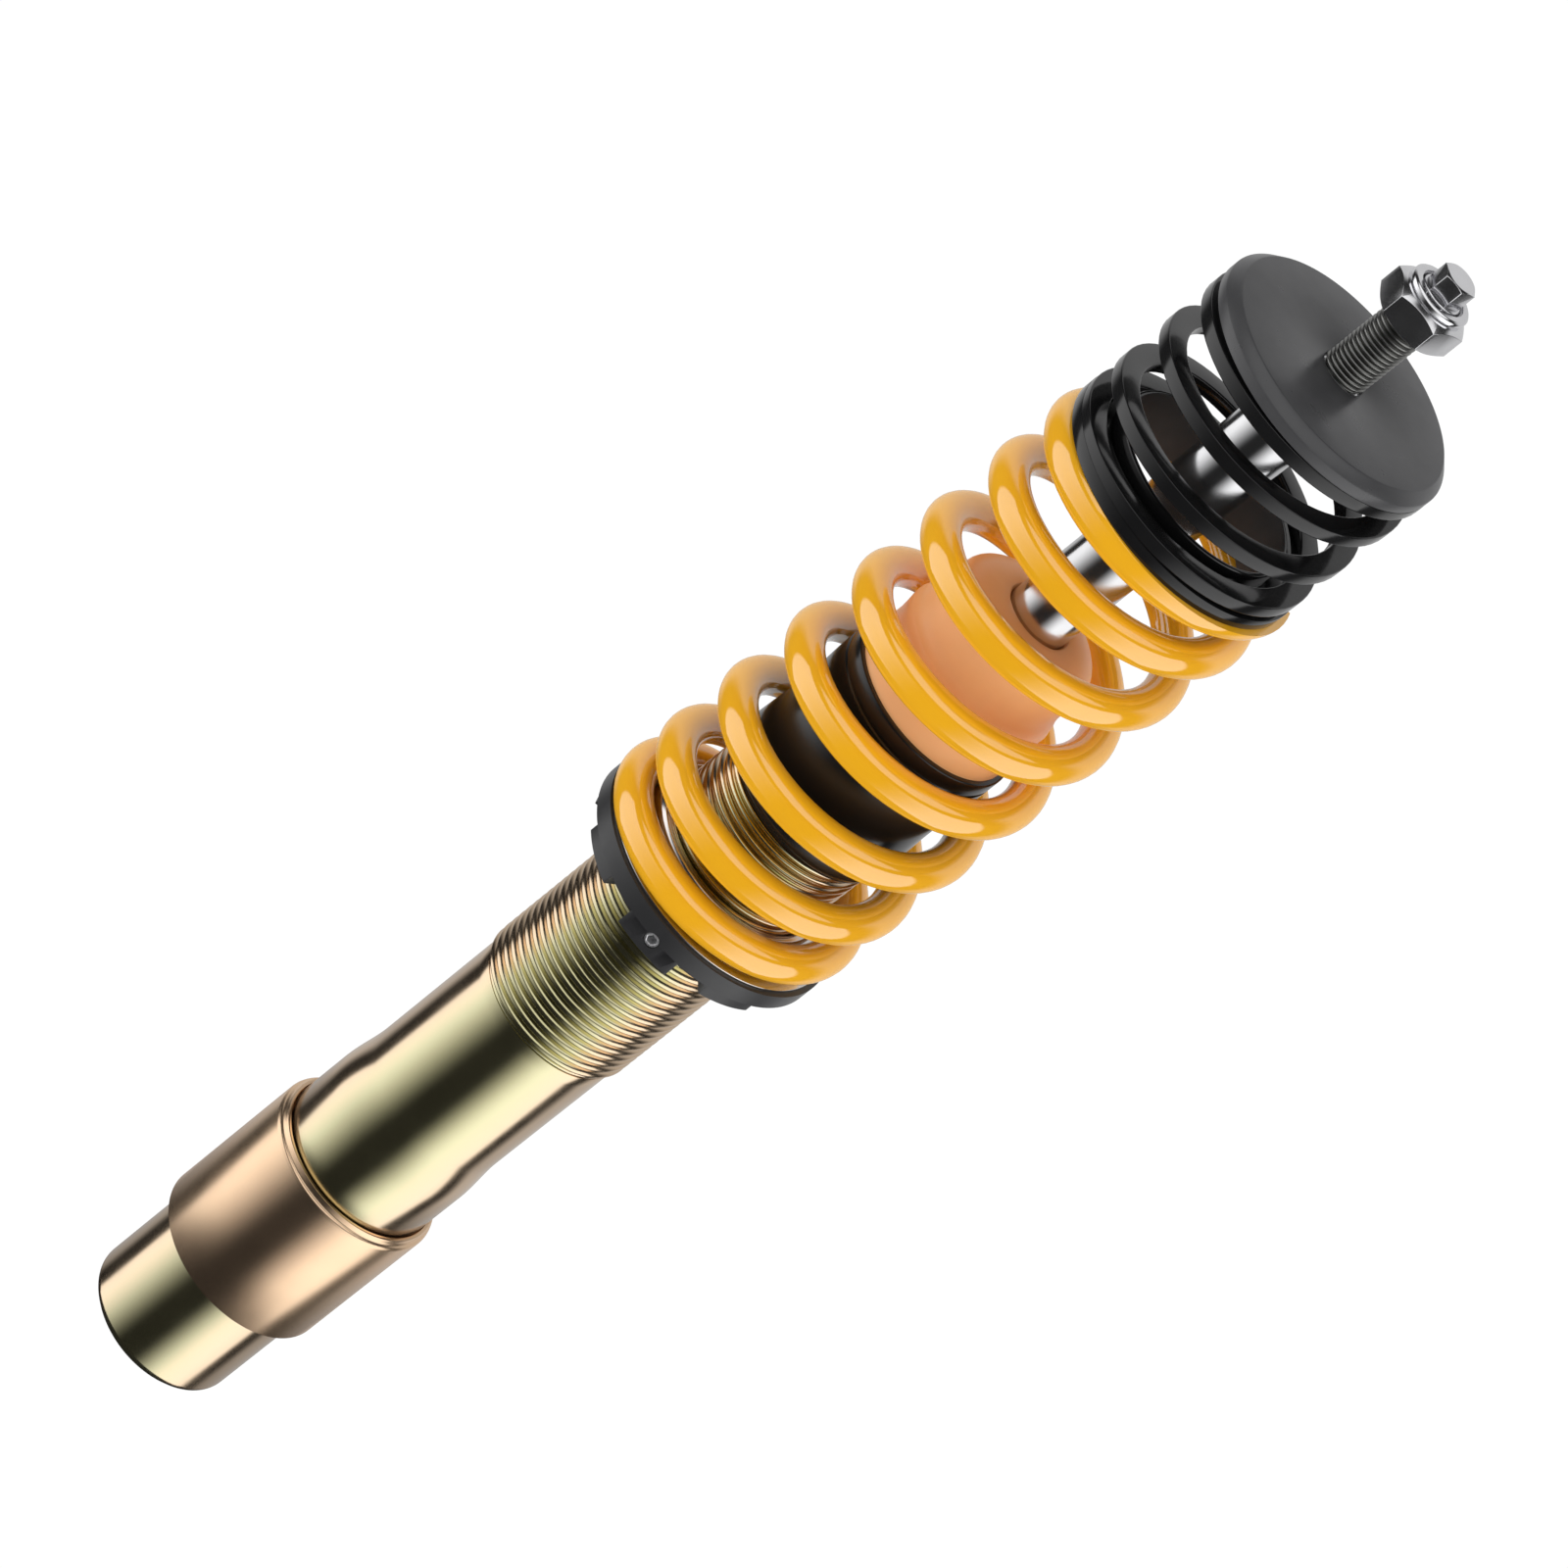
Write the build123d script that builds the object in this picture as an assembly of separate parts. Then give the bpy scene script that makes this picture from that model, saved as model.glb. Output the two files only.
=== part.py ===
from build123d import *

import math
import os

# A threaded front damper strut with its height-adjustable spring seat, main spring, helper spring,
# bump stop and upper spring plate, at full extension. Millimetres. The strut's axis is Z, and its
# lower end is at z = 0. The set screw in the adjuster collar faces -Y.

# ---- clearances ----
RUN_GAP = 0.05  # radial play of a shaft in its bush, and of a piston band in its tube
SLIDE_GAP = 0.3  # radial play of pieces that pass each other without guiding
COIL_GAP = 0.9  # radial play of the main spring round the sleeves that centre it
FIT_GAP = 0.02  # radial play of pieces that are pressed or screwed together
STOP_GAP = 0.3  # air left between two faces that meet at the end of the stroke

# ---- strut tube, from its lower end up ----
TUBE_R = 24.7  # the plain outside, between the shoulder and the thread
TUBE_WALL = 2.3
FOOT_H = 40.0  # the foot that goes into the knuckle, below the sleeve
FOOT_STEP = 0.3  # the foot is thicker than the plain tube
FOOT_ROUND = 2.0  # width of the foot's rounded lower edge
FOOT_ROUND_H = 3.8
LAND_STEP = 0.9  # the land that the sleeve is pressed on
SHOULDER_STEP = 1.3  # the thicker length above the sleeve
SHOULDER_H = 18.0
TAPER_H = 17.0
PLAIN_H = 49.5
THREAD_H = 106.0
THREAD_PITCH = 3.0
THREAD_DEPTH = 1.7
THREAD_UNDERCUT = 0.4  # the thread's root is below the plain tube
THREAD_CREST = 1.1  # width of a ridge at its top
SPIGOT_H = 25.8  # the tube's end inside the bump stop cup
SPIGOT_STEP = 0.3

# ---- clamp sleeve ----
SLEEVE_H = 52.7
SLEEVE_WALL = 3.38
SLEEVE_ROUND = 3.4
LIP_W = 1.6

# ---- bump stop cup and bump stop ----
CUP_WALL = 3.48
CUP_WAIST = 0.7
CUP_FLOOR_T = 7.18
CUP_RECESS_H = 18.0
CUP_LIP_H = 6.0
CUP_LIP_WALL = 1.6
CUP_BORE_GAP = 2.0  # radial room round the rod
STOP_H = 40.5  # bump stop standing out of its cup
STOP_BORE_GAP = 0.9
STOP_FACE_W = 2.6  # width of the flat upper face
STOP_TAPER = 2.5  # how much narrower the foam is below its dome

# ---- spring seat ring ----
PILOT_WALL = 3.4  # from the thread's clearance to the spring's
PILOT_H = 8.8
SEAT_DISC_H = 0.8

# ---- main spring ----
WIRE_D = 11.2
MAIN_TURNS = 7.85
MAIN_PITCH = 26.8
MAIN_LOW_PITCH = 10.0
MAIN_LOW_TURNS = 2.0
MAIN_TOP_PITCH = 15.0
MAIN_TOP_TURNS = 1.85
MAIN_START_AZIMUTH = 67.0
MAIN_LOW_DROP = 1.0  # how far the wire's centre starts below the seat's face
MAIN_TOP_RISE = 1.1656  # how far the wire's centre ends above the spring's upper face

# ---- adjuster collar ----
COLLAR_DROP = 47.2  # from the thread's top down to the collar's lower face
COLLAR_REACH = 4.6  # from the spring wire's centreline out to the flange's edge
HUB_STEP = 2.6  # the hub is inside the flange's edge
HUB_H = 5.5
FLANGE_H = 5.6
SEAT_DISC_STEP = 0.6  # the seat disc is inside the flange's edge
NOTCH_COUNT = 8
NOTCH_PITCH = 360 / NOTCH_COUNT
NOTCH_ANGLE = 17.5  # width of one notch as an angle
NOTCH_DEPTH = 3.4
LAND_AZIMUTH = 273.5  # direction of the land that carries the set screw
LAND_INSET = 5.0  # how far the land reaches into the hub
SCREW_R = 2.3
SCREW_LENGTH = 8.0
SCREW_SINK = 0.4  # the screw's head is below the land
SCREW_UP = 4.6  # height of the screw above the collar's lower face
SOCKET_AF = 2.5
SOCKET_DEPTH = 3.0

# ---- coupling ring between the springs ----
RING_REACH = 3.7  # from the spring wire's centreline out to the flange's edge
RING_FLANGE_H = 3.8
RING_SLEEVE_WALL = 1.35
RING_NECK_UP = 6.0
RING_NECK_DOWN = 8.0

# ---- helper spring ----
BAND_W = 6.8
BAND_H = 4.2
BAND_STEP = 0.2  # the band's middle is outside the main wire's centreline
HELPER_TURNS = 4.37
HELPER_PITCH = 17.5
HELPER_END_PITCH = 1.8
HELPER_END_TURNS = 1.5
HELPER_START_AZIMUTH = 30.0
HELPER_LOW_DROP = 3.6  # how far the band's underside starts below the coupling ring's face
HELPER_TOP_RISE = 1.1267  # how far the band's middle ends above the spring's upper face

# ---- upper spring plate ----
PLATE_REACH = 3.4  # from the helper band's middle out to the plate's edge
PLATE_H = 6.1
PLATE_CHAMFER = 2.9
PLATE_BUSH_WALL = 2.35

# ---- piston rod ----
ROD_R = 10.0
STUD_R = 7.0
STUD_PITCH = 1.5
STUD_DEPTH = 0.85
STUD_H = 35.5
HEX_AF = 9.4
HEX_H = 6.5

# ---- top nut ----
NUT_AF = 22.0
NUT_UP = 23.7  # height of the nut above the upper plate
NUT_HEX_H = 9.3
NUT_COLLAR_WALL = 2.8
NUT_COLLAR_H = 2.7
NUT_RIM = 1.3  # wall round the locking insert

# ---- damper internals ----
PRESSURE_R_IN = 16.0
PRESSURE_WALL = 1.25
BASE_H = 6.0
VALVE_H = 14.0
VALVE_FLANGE_H = 4.0
VALVE_FLANGE_W = 1.5
GUIDE_H = 16.0
GUIDE_LIP_H = 6.0
BUSH_WALL = 1.0
SEAL_H = 6.0
GLAND_H = 8.0
GLAND_BORE_GAP = 1.5
GLAND_SHELF = 2.0  # width of the shelf under the wiper
WIPER_H = 5.0
O_RING_R = 1.2
PISTON_H = 16.0
PISTON_GAP = 0.4
PISTON_BAND_H = 8.0
PISTON_BAND_T = 1.0
PISTON_PORTS = 6
SPIGOT_ROD_R = 6.0  # the rod's reduced lower end that carries the piston
SHIM_T = 0.5
SHIM_COUNT = 4
PISTON_NUT_H = 7.0
PISTON_NUT_AF = 17.0
NUT_THREAD_END = 2.0  # the spigot stands out of the piston nut
REBOUND_H = 8.0
REBOUND_BUFFER_H = 6.0
REBOUND_ROOM = 2.0  # radial room round the rebound stop in the pressure tube
SPIGOT_RELIEF = 2.0  # plain rod between the rebound stop and the shims

STEPS_PER_TURN = 12  # points along one turn of a spring's centreline


def coil_heights(turns, pitch, low_pitch, low_turns, top_pitch, top_turns):
    """Heights along a spring whose pitch grows from its lower end and shrinks to its upper end."""
    count = round(turns * STEPS_PER_TURN)
    step = turns / count
    heights = [0.0]
    for i in range(count):
        turn = (i + 0.5) * step
        rising = low_pitch + (pitch - low_pitch) * min(1, turn / low_turns)
        falling = top_pitch + (pitch - top_pitch) * min(1, (turns - turn) / top_turns)
        heights.append(heights[-1] + min(rising, falling) * step)
    return heights


main_heights = coil_heights(
    MAIN_TURNS,
    MAIN_PITCH,
    MAIN_LOW_PITCH,
    MAIN_LOW_TURNS,
    MAIN_TOP_PITCH,
    MAIN_TOP_TURNS,
)
helper_heights = coil_heights(
    HELPER_TURNS,
    HELPER_PITCH,
    HELPER_END_PITCH,
    HELPER_END_TURNS,
    HELPER_END_PITCH,
    HELPER_END_TURNS,
)

# ---- radii that follow from the sizes above, from the bore out ----
TUBE_BORE_R = TUBE_R - TUBE_WALL
FOOT_R = TUBE_R + FOOT_STEP
LAND_R = TUBE_R + LAND_STEP
SHOULDER_R = TUBE_R + SHOULDER_STEP
SPIGOT_R = TUBE_R - SPIGOT_STEP
THREAD_ROOT_R = TUBE_R - THREAD_UNDERCUT
THREAD_R = THREAD_ROOT_R + THREAD_DEPTH
SLEEVE_R = LAND_R + FIT_GAP + SLEEVE_WALL
CUP_R = SPIGOT_R + FIT_GAP + CUP_WALL
STOP_BORE_R = ROD_R + STOP_BORE_GAP
GLAND_BORE_R = ROD_R + GLAND_BORE_GAP
PRESSURE_R = PRESSURE_R_IN + PRESSURE_WALL
COLLAR_BORE_R = THREAD_R + SLIDE_GAP
PILOT_R = COLLAR_BORE_R + PILOT_WALL
COIL_R = PILOT_R + COIL_GAP + WIRE_D / 2
COLLAR_R = COIL_R + COLLAR_REACH
HUB_R = COLLAR_R - HUB_STEP
RING_R = COIL_R + RING_REACH
BAND_R = COIL_R + BAND_STEP
PLATE_R = BAND_R + PLATE_REACH
PLATE_BUSH_R = STUD_R + RUN_GAP + PLATE_BUSH_WALL
STUD_ROOT_R = STUD_R - STUD_DEPTH
NUT_COLLAR_R = STUD_R + NUT_COLLAR_WALL

# ---- heights that follow from the sizes above, from the ground up ----
SLEEVE_TOP = FOOT_H + SLEEVE_H
SLEEVE_SEAT = SLEEVE_TOP - SLEEVE_ROUND  # where the sleeve's bore steps out over the shoulder
SHOULDER_TOP = SLEEVE_TOP + SHOULDER_H
TAPER_TOP = SHOULDER_TOP + TAPER_H
THREAD_LOW = TAPER_TOP + PLAIN_H
THREAD_TOP = THREAD_LOW + THREAD_H
TUBE_TOP = THREAD_TOP + SPIGOT_H
CUP_FLOOR = TUBE_TOP + FIT_GAP + CUP_FLOOR_T
CUP_TOP = CUP_FLOOR + CUP_RECESS_H
STOP_TOP = CUP_TOP + STOP_H
HUB_LOW = THREAD_TOP - COLLAR_DROP
FLANGE_LOW = HUB_LOW + HUB_H
FLANGE_TOP = FLANGE_LOW + FLANGE_H
SCREW_Z = HUB_LOW + SCREW_UP
SEAT_Z = FLANGE_TOP + SEAT_DISC_H
MAIN_TOP = SEAT_Z + main_heights[-1] - MAIN_LOW_DROP - MAIN_TOP_RISE
RING_TOP = MAIN_TOP + RING_FLANGE_H
HELPER_START = RING_TOP - HELPER_LOW_DROP + BAND_H / 2
PLATE_LOW = HELPER_START + helper_heights[-1] - HELPER_TOP_RISE
PLATE_TOP = PLATE_LOW + PLATE_H
NUT_Z = PLATE_TOP + NUT_UP
VALVE_FLANGE_TOP = BASE_H + VALVE_FLANGE_H
GLAND_LOW = TUBE_TOP - GLAND_H
SEAL_LOW = GLAND_LOW - SEAL_H
GUIDE_LOW = SEAL_LOW - GUIDE_H
GUIDE_SHOULDER = GUIDE_LOW + GUIDE_H - GUIDE_LIP_H
REBOUND_LOW = GUIDE_LOW - REBOUND_BUFFER_H - REBOUND_H
ROD_LOW = REBOUND_LOW - SPIGOT_RELIEF
SHIM_STACK_H = SHIM_T * SHIM_COUNT
PISTON_LOW = ROD_LOW - SHIM_STACK_H - PISTON_H
PISTON_NUT_TOP = PISTON_LOW - SHIM_STACK_H
STROKE = PLATE_LOW - STOP_TOP - STOP_GAP

os.makedirs("parts", exist_ok=True)


def turned(outline):
    """A solid turned about the strut's axis from (radius, height) corners."""
    corners = [(r, 0, z) for r, z in outline]
    return revolve(make_face(Polyline(corners, close=True)), Axis.Z)


def ring(inner, outer, low, high):
    """A plain ring between two heights."""
    return turned([(inner, low), (outer, low), (outer, high), (inner, high)])


def disc(radius, low, high):
    """A plain round bar between two heights."""
    return ring(0, radius, low, high)


def quarter_round(centre_r, centre_z, width, height, start, end):
    """Corners along a rounded edge. start and end are angles from the radial direction."""
    steps = 6
    corners = []
    for i in range(steps + 1):
        angle = math.radians(start + (end - start) * i / steps)
        corners.append((centre_r + width * math.cos(angle), centre_z + height * math.sin(angle)))
    return corners


def sector(azimuth, angle):
    """A wedge that holds what lies within an angle about one direction, up to the seat's height."""
    reach = 2 * COLLAR_R
    half = math.radians(angle / 2)
    corners = [(0, 0), (reach, -reach * math.tan(half)), (reach, reach * math.tan(half))]
    return Rot(0, 0, azimuth) * extrude(make_face(Polyline(corners, close=True)), SEAT_Z)


def hexagon(across_flats, low, high, first_flat):
    """A hexagonal bar, with one flat facing the direction first_flat."""
    corner_r = across_flats / math.sqrt(3)
    outline = RegularPolygon(corner_r, 6, rotation=first_flat + 30)
    return Pos(0, 0, low) * extrude(outline, high - low)


def chamfered_hexagon(across_flats, low, high, chamfer_low, chamfer_high, first_flat=0.0):
    """A hexagonal bar whose corners are turned off at 30 degrees at its ends."""
    corner_r = across_flats / math.sqrt(3)
    drop = corner_r - across_flats / 2
    slope = math.tan(math.radians(30))
    outline = [(0, low)]
    if chamfer_low:
        outline += [(corner_r - drop, low), (corner_r, low + drop * slope)]
    else:
        outline += [(corner_r, low)]
    if chamfer_high:
        outline += [(corner_r, high - drop * slope), (corner_r - drop, high)]
    else:
        outline += [(corner_r, high)]
    outline.append((0, high))
    return hexagon(across_flats, low, high, first_flat) & turned(outline)


def ridges(low, high, pitch, crest_r, root_r, crest_width):
    """Corners of a row of thread ridges, from low to high, for the outline of a turned piece."""
    count = round((high - low) / pitch)
    step = (high - low) / count
    flank = (step - crest_width) / 3
    corners = []
    for i in range(count):
        start = low + i * step
        corners.append((root_r, start + flank / 2))
        corners.append((crest_r, start + flank * 1.5))
        corners.append((crest_r, start + flank * 1.5 + crest_width))
        corners.append((root_r, start + flank * 2.5 + crest_width))
    return corners


def coil_path(radius, start_z, start_azimuth, turns, heights):
    """The centreline of a right-handed spring."""
    points = []
    for i, height in enumerate(heights):
        angle = math.radians(start_azimuth + 360 * turns * i / (len(heights) - 1))
        points.append((radius * math.cos(angle), radius * math.sin(angle), start_z + height))
    return Spline(points)


def wound(path, section):
    """A wire of the given section, swept along a spring's centreline."""
    start = path @ 0
    inward = Vector(-start.X, -start.Y, 0)
    return sweep(Plane(origin=start, x_dir=inward, z_dir=path % 0) * section, path=path, is_frenet=True)


def radial(radius, height):
    """Places a piece that is modelled along Z so that it points out along the land's direction."""
    return Rot(0, 0, LAND_AZIMUTH) * Pos(radius, 0, height) * Rot(0, 90, 0)


# ======================= the tube and what is fixed to it =======================


def strut_tube():
    """The outer tube: foot, land, shoulder, taper, plain length, thread and spigot."""
    outline = [(TUBE_BORE_R, 0)]
    outline += quarter_round(FOOT_R - FOOT_ROUND, FOOT_ROUND_H, FOOT_ROUND, FOOT_ROUND_H, -90, 0)
    outline += [
        (FOOT_R, FOOT_H),
        (LAND_R, FOOT_H),
        (LAND_R, SLEEVE_SEAT),
        (SHOULDER_R, SLEEVE_SEAT),
        (SHOULDER_R, SHOULDER_TOP),
        (TUBE_R, TAPER_TOP),
        (TUBE_R, THREAD_LOW),
    ]
    outline += ridges(THREAD_LOW, THREAD_TOP, THREAD_PITCH, THREAD_R, THREAD_ROOT_R, THREAD_CREST)
    outline += [(SPIGOT_R, THREAD_TOP), (SPIGOT_R, TUBE_TOP), (TUBE_BORE_R, TUBE_TOP)]
    return turned(outline)


def clamp_sleeve():
    """The sleeve that the knuckle clamps round. Its bore steps out over the tube's shoulder."""
    lip_r = SHOULDER_R + FIT_GAP + LIP_W
    edge = SLEEVE_R - lip_r
    outline = [
        (LAND_R + FIT_GAP, FOOT_H),
        (SLEEVE_R - 0.3, FOOT_H),
        (SLEEVE_R, FOOT_H + 0.3),
    ]
    outline += quarter_round(lip_r, SLEEVE_SEAT, edge, SLEEVE_ROUND, 0, 90)
    outline += [
        (SHOULDER_R + FIT_GAP, SLEEVE_TOP),
        (SHOULDER_R + FIT_GAP, SLEEVE_SEAT),
        (LAND_R + FIT_GAP, SLEEVE_SEAT),
    ]
    return turned(outline)


def base_cap():
    """The pressed cap that closes the tube's lower end."""
    outline = [
        (0, 1.5),
        (TUBE_BORE_R - 3, 1.5),
        (TUBE_BORE_R - 1.5, 0.2),
        (TUBE_BORE_R - FIT_GAP, 0.2),
        (TUBE_BORE_R - FIT_GAP, BASE_H),
        (0, BASE_H),
    ]
    return turned(outline)


def base_valve():
    """The foot valve: a spigot in the pressure tube on a notched foot that stands on the base cap."""
    spigot = disc(PRESSURE_R_IN - FIT_GAP, VALVE_FLANGE_TOP, BASE_H + VALVE_H)
    foot = disc(PRESSURE_R + VALVE_FLANGE_W, BASE_H, VALVE_FLANGE_TOP)
    valve = spigot + foot
    for i in range(4):
        slot = Pos(PRESSURE_R - 4, 0, BASE_H + 1.2) * Box(14, 5, 2.4)
        valve -= Rot(0, 0, 90 * i) * slot
    for i in range(6):
        valve -= Rot(0, 0, 60 * i + 30) * Pos(8.5, 0, BASE_H + VALVE_H / 2) * Cylinder(1.6, VALVE_H + 2)
    return valve


def pressure_tube():
    """The inner tube that the piston runs in."""
    return ring(PRESSURE_R_IN, PRESSURE_R, VALVE_FLANGE_TOP, GUIDE_SHOULDER)


def rod_guide():
    """The guide that centres the rod and closes both tubes."""
    bore_r = ROD_R + RUN_GAP + BUSH_WALL + FIT_GAP
    outline = [
        (bore_r, GUIDE_LOW),
        (PRESSURE_R_IN - FIT_GAP, GUIDE_LOW),
        (PRESSURE_R_IN - FIT_GAP, GUIDE_SHOULDER),
        (TUBE_BORE_R - FIT_GAP, GUIDE_SHOULDER),
        (TUBE_BORE_R - FIT_GAP, SEAL_LOW),
        (bore_r, SEAL_LOW),
    ]
    return turned(outline)


def guide_bush():
    """The bearing bush in the guide."""
    inner = ROD_R + RUN_GAP
    return ring(inner, inner + BUSH_WALL, GUIDE_LOW, SEAL_LOW)


def rod_seal():
    """The lip seal above the guide."""
    inner = ROD_R + RUN_GAP
    outer = TUBE_BORE_R - 2 * O_RING_R - 1.5
    outline = [
        (inner, SEAL_LOW + 1.5),
        (inner + 2, SEAL_LOW),
        (outer, SEAL_LOW),
        (outer, GLAND_LOW),
        (inner + 2, GLAND_LOW),
        (inner, GLAND_LOW - 1.5),
    ]
    return turned(outline)


def seal_o_ring():
    """The ring that seals the gland nut's foot against the tube's bore."""
    middle = TUBE_BORE_R - O_RING_R - FIT_GAP
    return Pos(0, 0, SEAL_LOW + O_RING_R + FIT_GAP) * Torus(middle, O_RING_R)


def gland_nut():
    """The nut that holds guide and seal in the tube, with four holes for a pin wrench."""
    shelf_r = GLAND_BORE_R + GLAND_SHELF
    recess_r = shelf_r + 2
    outline = [
        (shelf_r, GLAND_LOW),
        (TUBE_BORE_R - FIT_GAP, GLAND_LOW),
        (TUBE_BORE_R - FIT_GAP, TUBE_TOP),
        (recess_r, TUBE_TOP),
        (recess_r, TUBE_TOP - WIPER_H),
        (shelf_r, TUBE_TOP - WIPER_H),
    ]
    nut = turned(outline)
    for i in range(4):
        nut -= Rot(0, 0, 90 * i + 45) * Pos(TUBE_BORE_R - 3, 0, TUBE_TOP) * Cylinder(1.6, 6)
    return nut


def wiper_seal():
    """The dirt wiper in the gland nut's recess."""
    inner = ROD_R + RUN_GAP
    outer = GLAND_BORE_R + GLAND_SHELF + 2 - FIT_GAP
    low = TUBE_TOP - WIPER_H
    outline = [
        (inner + 1.2, low),
        (outer, low),
        (outer, TUBE_TOP - 0.5),
        (inner + 1.2, TUBE_TOP - 0.5),
        (inner, TUBE_TOP - 1.5),
    ]
    return turned(outline)


def bump_stop_cup():
    """The cup on the tube's upper end. Its skirt covers the tube and its rim holds the bump stop."""
    skirt_r = SPIGOT_R + FIT_GAP
    floor = TUBE_TOP + FIT_GAP
    recess_r = CUP_R - CUP_LIP_WALL
    bore_r = ROD_R + CUP_BORE_GAP
    waist_r = CUP_R - CUP_WAIST
    lip = CUP_TOP - CUP_LIP_H
    outline = [(skirt_r, THREAD_TOP), (CUP_R - 0.8, THREAD_TOP)]
    outline += quarter_round(CUP_R - 0.8, THREAD_TOP + 2, 0.8, 2, -60, 0)
    waist_steps = 10
    waist_low = THREAD_TOP + (lip - THREAD_TOP) / 3
    for i in range(waist_steps + 1):
        share = i / waist_steps
        dip = (1 - math.cos(2 * math.pi * share)) / 2
        outline.append((CUP_R - (CUP_R - waist_r) * dip, waist_low + (lip - waist_low) * share))
    outline += [
        (CUP_R, CUP_TOP - 0.5),
        (CUP_R - 0.5, CUP_TOP),
        (recess_r, CUP_TOP),
        (recess_r, CUP_FLOOR),
        (bore_r, CUP_FLOOR),
        (bore_r, floor),
        (skirt_r, floor),
    ]
    return turned(outline)


def bump_stop():
    """The foam bump stop: a waisted body with one rib and a domed end, standing in its cup."""
    base_r = CUP_R - CUP_LIP_WALL - FIT_GAP
    body_r = base_r - STOP_TAPER
    face_r = STOP_BORE_R + STOP_FACE_W
    outline = [
        (STOP_BORE_R, CUP_FLOOR),
        (base_r, CUP_FLOOR),
        (base_r, CUP_TOP - 1),
        (base_r - 0.3, CUP_TOP + STOP_H * 0.05),
        (base_r - 0.9, CUP_TOP + STOP_H * 0.2),
        (base_r - 0.6, CUP_TOP + STOP_H * 0.32),
        (base_r, CUP_TOP + STOP_H * 0.4),
        (base_r - 0.2, CUP_TOP + STOP_H * 0.47),
        (base_r - 1.6, CUP_TOP + STOP_H * 0.53),
        (base_r - 2.2, CUP_TOP + STOP_H * 0.64),
    ]
    outline += quarter_round(face_r, STOP_TOP - 7, body_r - face_r, 7, 0, 90)
    outline.append((STOP_BORE_R, STOP_TOP))
    return turned(outline)


# ======================= the rod and what moves with it =======================


def piston_rod():
    """The rod, its threaded stud and the hexagon at its upper end, with the piston's spigot below."""
    spigot_low = PISTON_NUT_TOP - PISTON_NUT_H - NUT_THREAD_END
    stud_top = PLATE_TOP + STUD_H
    neck_r = HEX_AF / 2 - 0.3
    neck_top = stud_top + 0.8
    outline = [
        (0, spigot_low),
        (SPIGOT_ROD_R - 1, spigot_low),
        (SPIGOT_ROD_R, spigot_low + 1),
        (SPIGOT_ROD_R, ROD_LOW),
        (ROD_R, ROD_LOW),
        (ROD_R, PLATE_LOW),
        (STUD_R, PLATE_LOW),
        (STUD_R, PLATE_TOP),
    ]
    outline += ridges(PLATE_TOP, stud_top, STUD_PITCH, STUD_R, STUD_ROOT_R, STUD_PITCH / 5)
    outline += [(STUD_ROOT_R, stud_top), (neck_r, neck_top), (0, neck_top)]
    hex_low = stud_top + 0.3
    drive_hex = chamfered_hexagon(HEX_AF, hex_low, hex_low + HEX_H, False, True, 270)
    return turned(outline) + drive_hex


def piston():
    """The drilled piston with a groove for its band."""
    groove_low = PISTON_LOW + (PISTON_H - PISTON_BAND_H) / 2
    piston_top = PISTON_LOW + PISTON_H
    body_r = PRESSURE_R_IN - PISTON_GAP
    groove_r = body_r - PISTON_BAND_T
    bore_r = SPIGOT_ROD_R + FIT_GAP
    outline = [
        (bore_r, PISTON_LOW),
        (body_r, PISTON_LOW),
        (body_r, groove_low),
        (groove_r, groove_low),
        (groove_r, groove_low + PISTON_BAND_H),
        (body_r, groove_low + PISTON_BAND_H),
        (body_r, piston_top),
        (bore_r, piston_top),
    ]
    body = turned(outline)
    port_r = (SPIGOT_ROD_R + groove_r) / 2
    for i in range(PISTON_PORTS):
        port = Pos(port_r, 0, PISTON_LOW + PISTON_H / 2) * Cylinder(1.5, PISTON_H + 2)
        body -= Rot(0, 0, i * 360 / PISTON_PORTS) * port
    return body


def piston_band():
    """The slippery band round the piston."""
    low = PISTON_LOW + (PISTON_H - PISTON_BAND_H) / 2
    inner = PRESSURE_R_IN - PISTON_GAP - PISTON_BAND_T + FIT_GAP
    return ring(inner, PRESSURE_R_IN - RUN_GAP, low + FIT_GAP, low + PISTON_BAND_H - FIT_GAP)


def shim_stack(low, smallest_first):
    """A stack of spring-steel shims of different sizes, which covers the piston's ports."""
    radii = [PRESSURE_R_IN - 2.2 - 1.6 * i for i in range(SHIM_COUNT)]
    if smallest_first:
        radii.reverse()
    bore_r = SPIGOT_ROD_R + FIT_GAP
    outline = [(bore_r, low)]
    for i, radius in enumerate(radii):
        outline.append((radius, low + i * SHIM_T))
        outline.append((radius, low + (i + 1) * SHIM_T))
    outline.append((bore_r, low + SHIM_STACK_H))
    return turned(outline)


def piston_nut():
    """The nut that holds piston and shims on the rod's spigot."""
    low = PISTON_NUT_TOP - PISTON_NUT_H
    nut = chamfered_hexagon(PISTON_NUT_AF, low, PISTON_NUT_TOP, True, False)
    return nut - disc(SPIGOT_ROD_R + FIT_GAP, low - 1, PISTON_NUT_TOP + 1)


def rebound_stop():
    """The steel ring fixed on the rod that ends the rebound stroke."""
    outer = PRESSURE_R_IN - REBOUND_ROOM
    return ring(ROD_R + FIT_GAP, outer, REBOUND_LOW, REBOUND_LOW + REBOUND_H - FIT_GAP)


def rebound_buffer():
    """The rubber ring that meets the guide at full extension."""
    low = REBOUND_LOW + REBOUND_H
    high = GUIDE_LOW - STOP_GAP
    outer = PRESSURE_R_IN - REBOUND_ROOM / 2
    outline = [
        (ROD_R + FIT_GAP, low),
        (outer - 0.5, low),
        (outer, low + 1),
        (outer, high - 1),
        (outer - 0.8, high),
        (ROD_R + FIT_GAP, high),
    ]
    return turned(outline)


# ======================= the spring seat =======================


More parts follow.
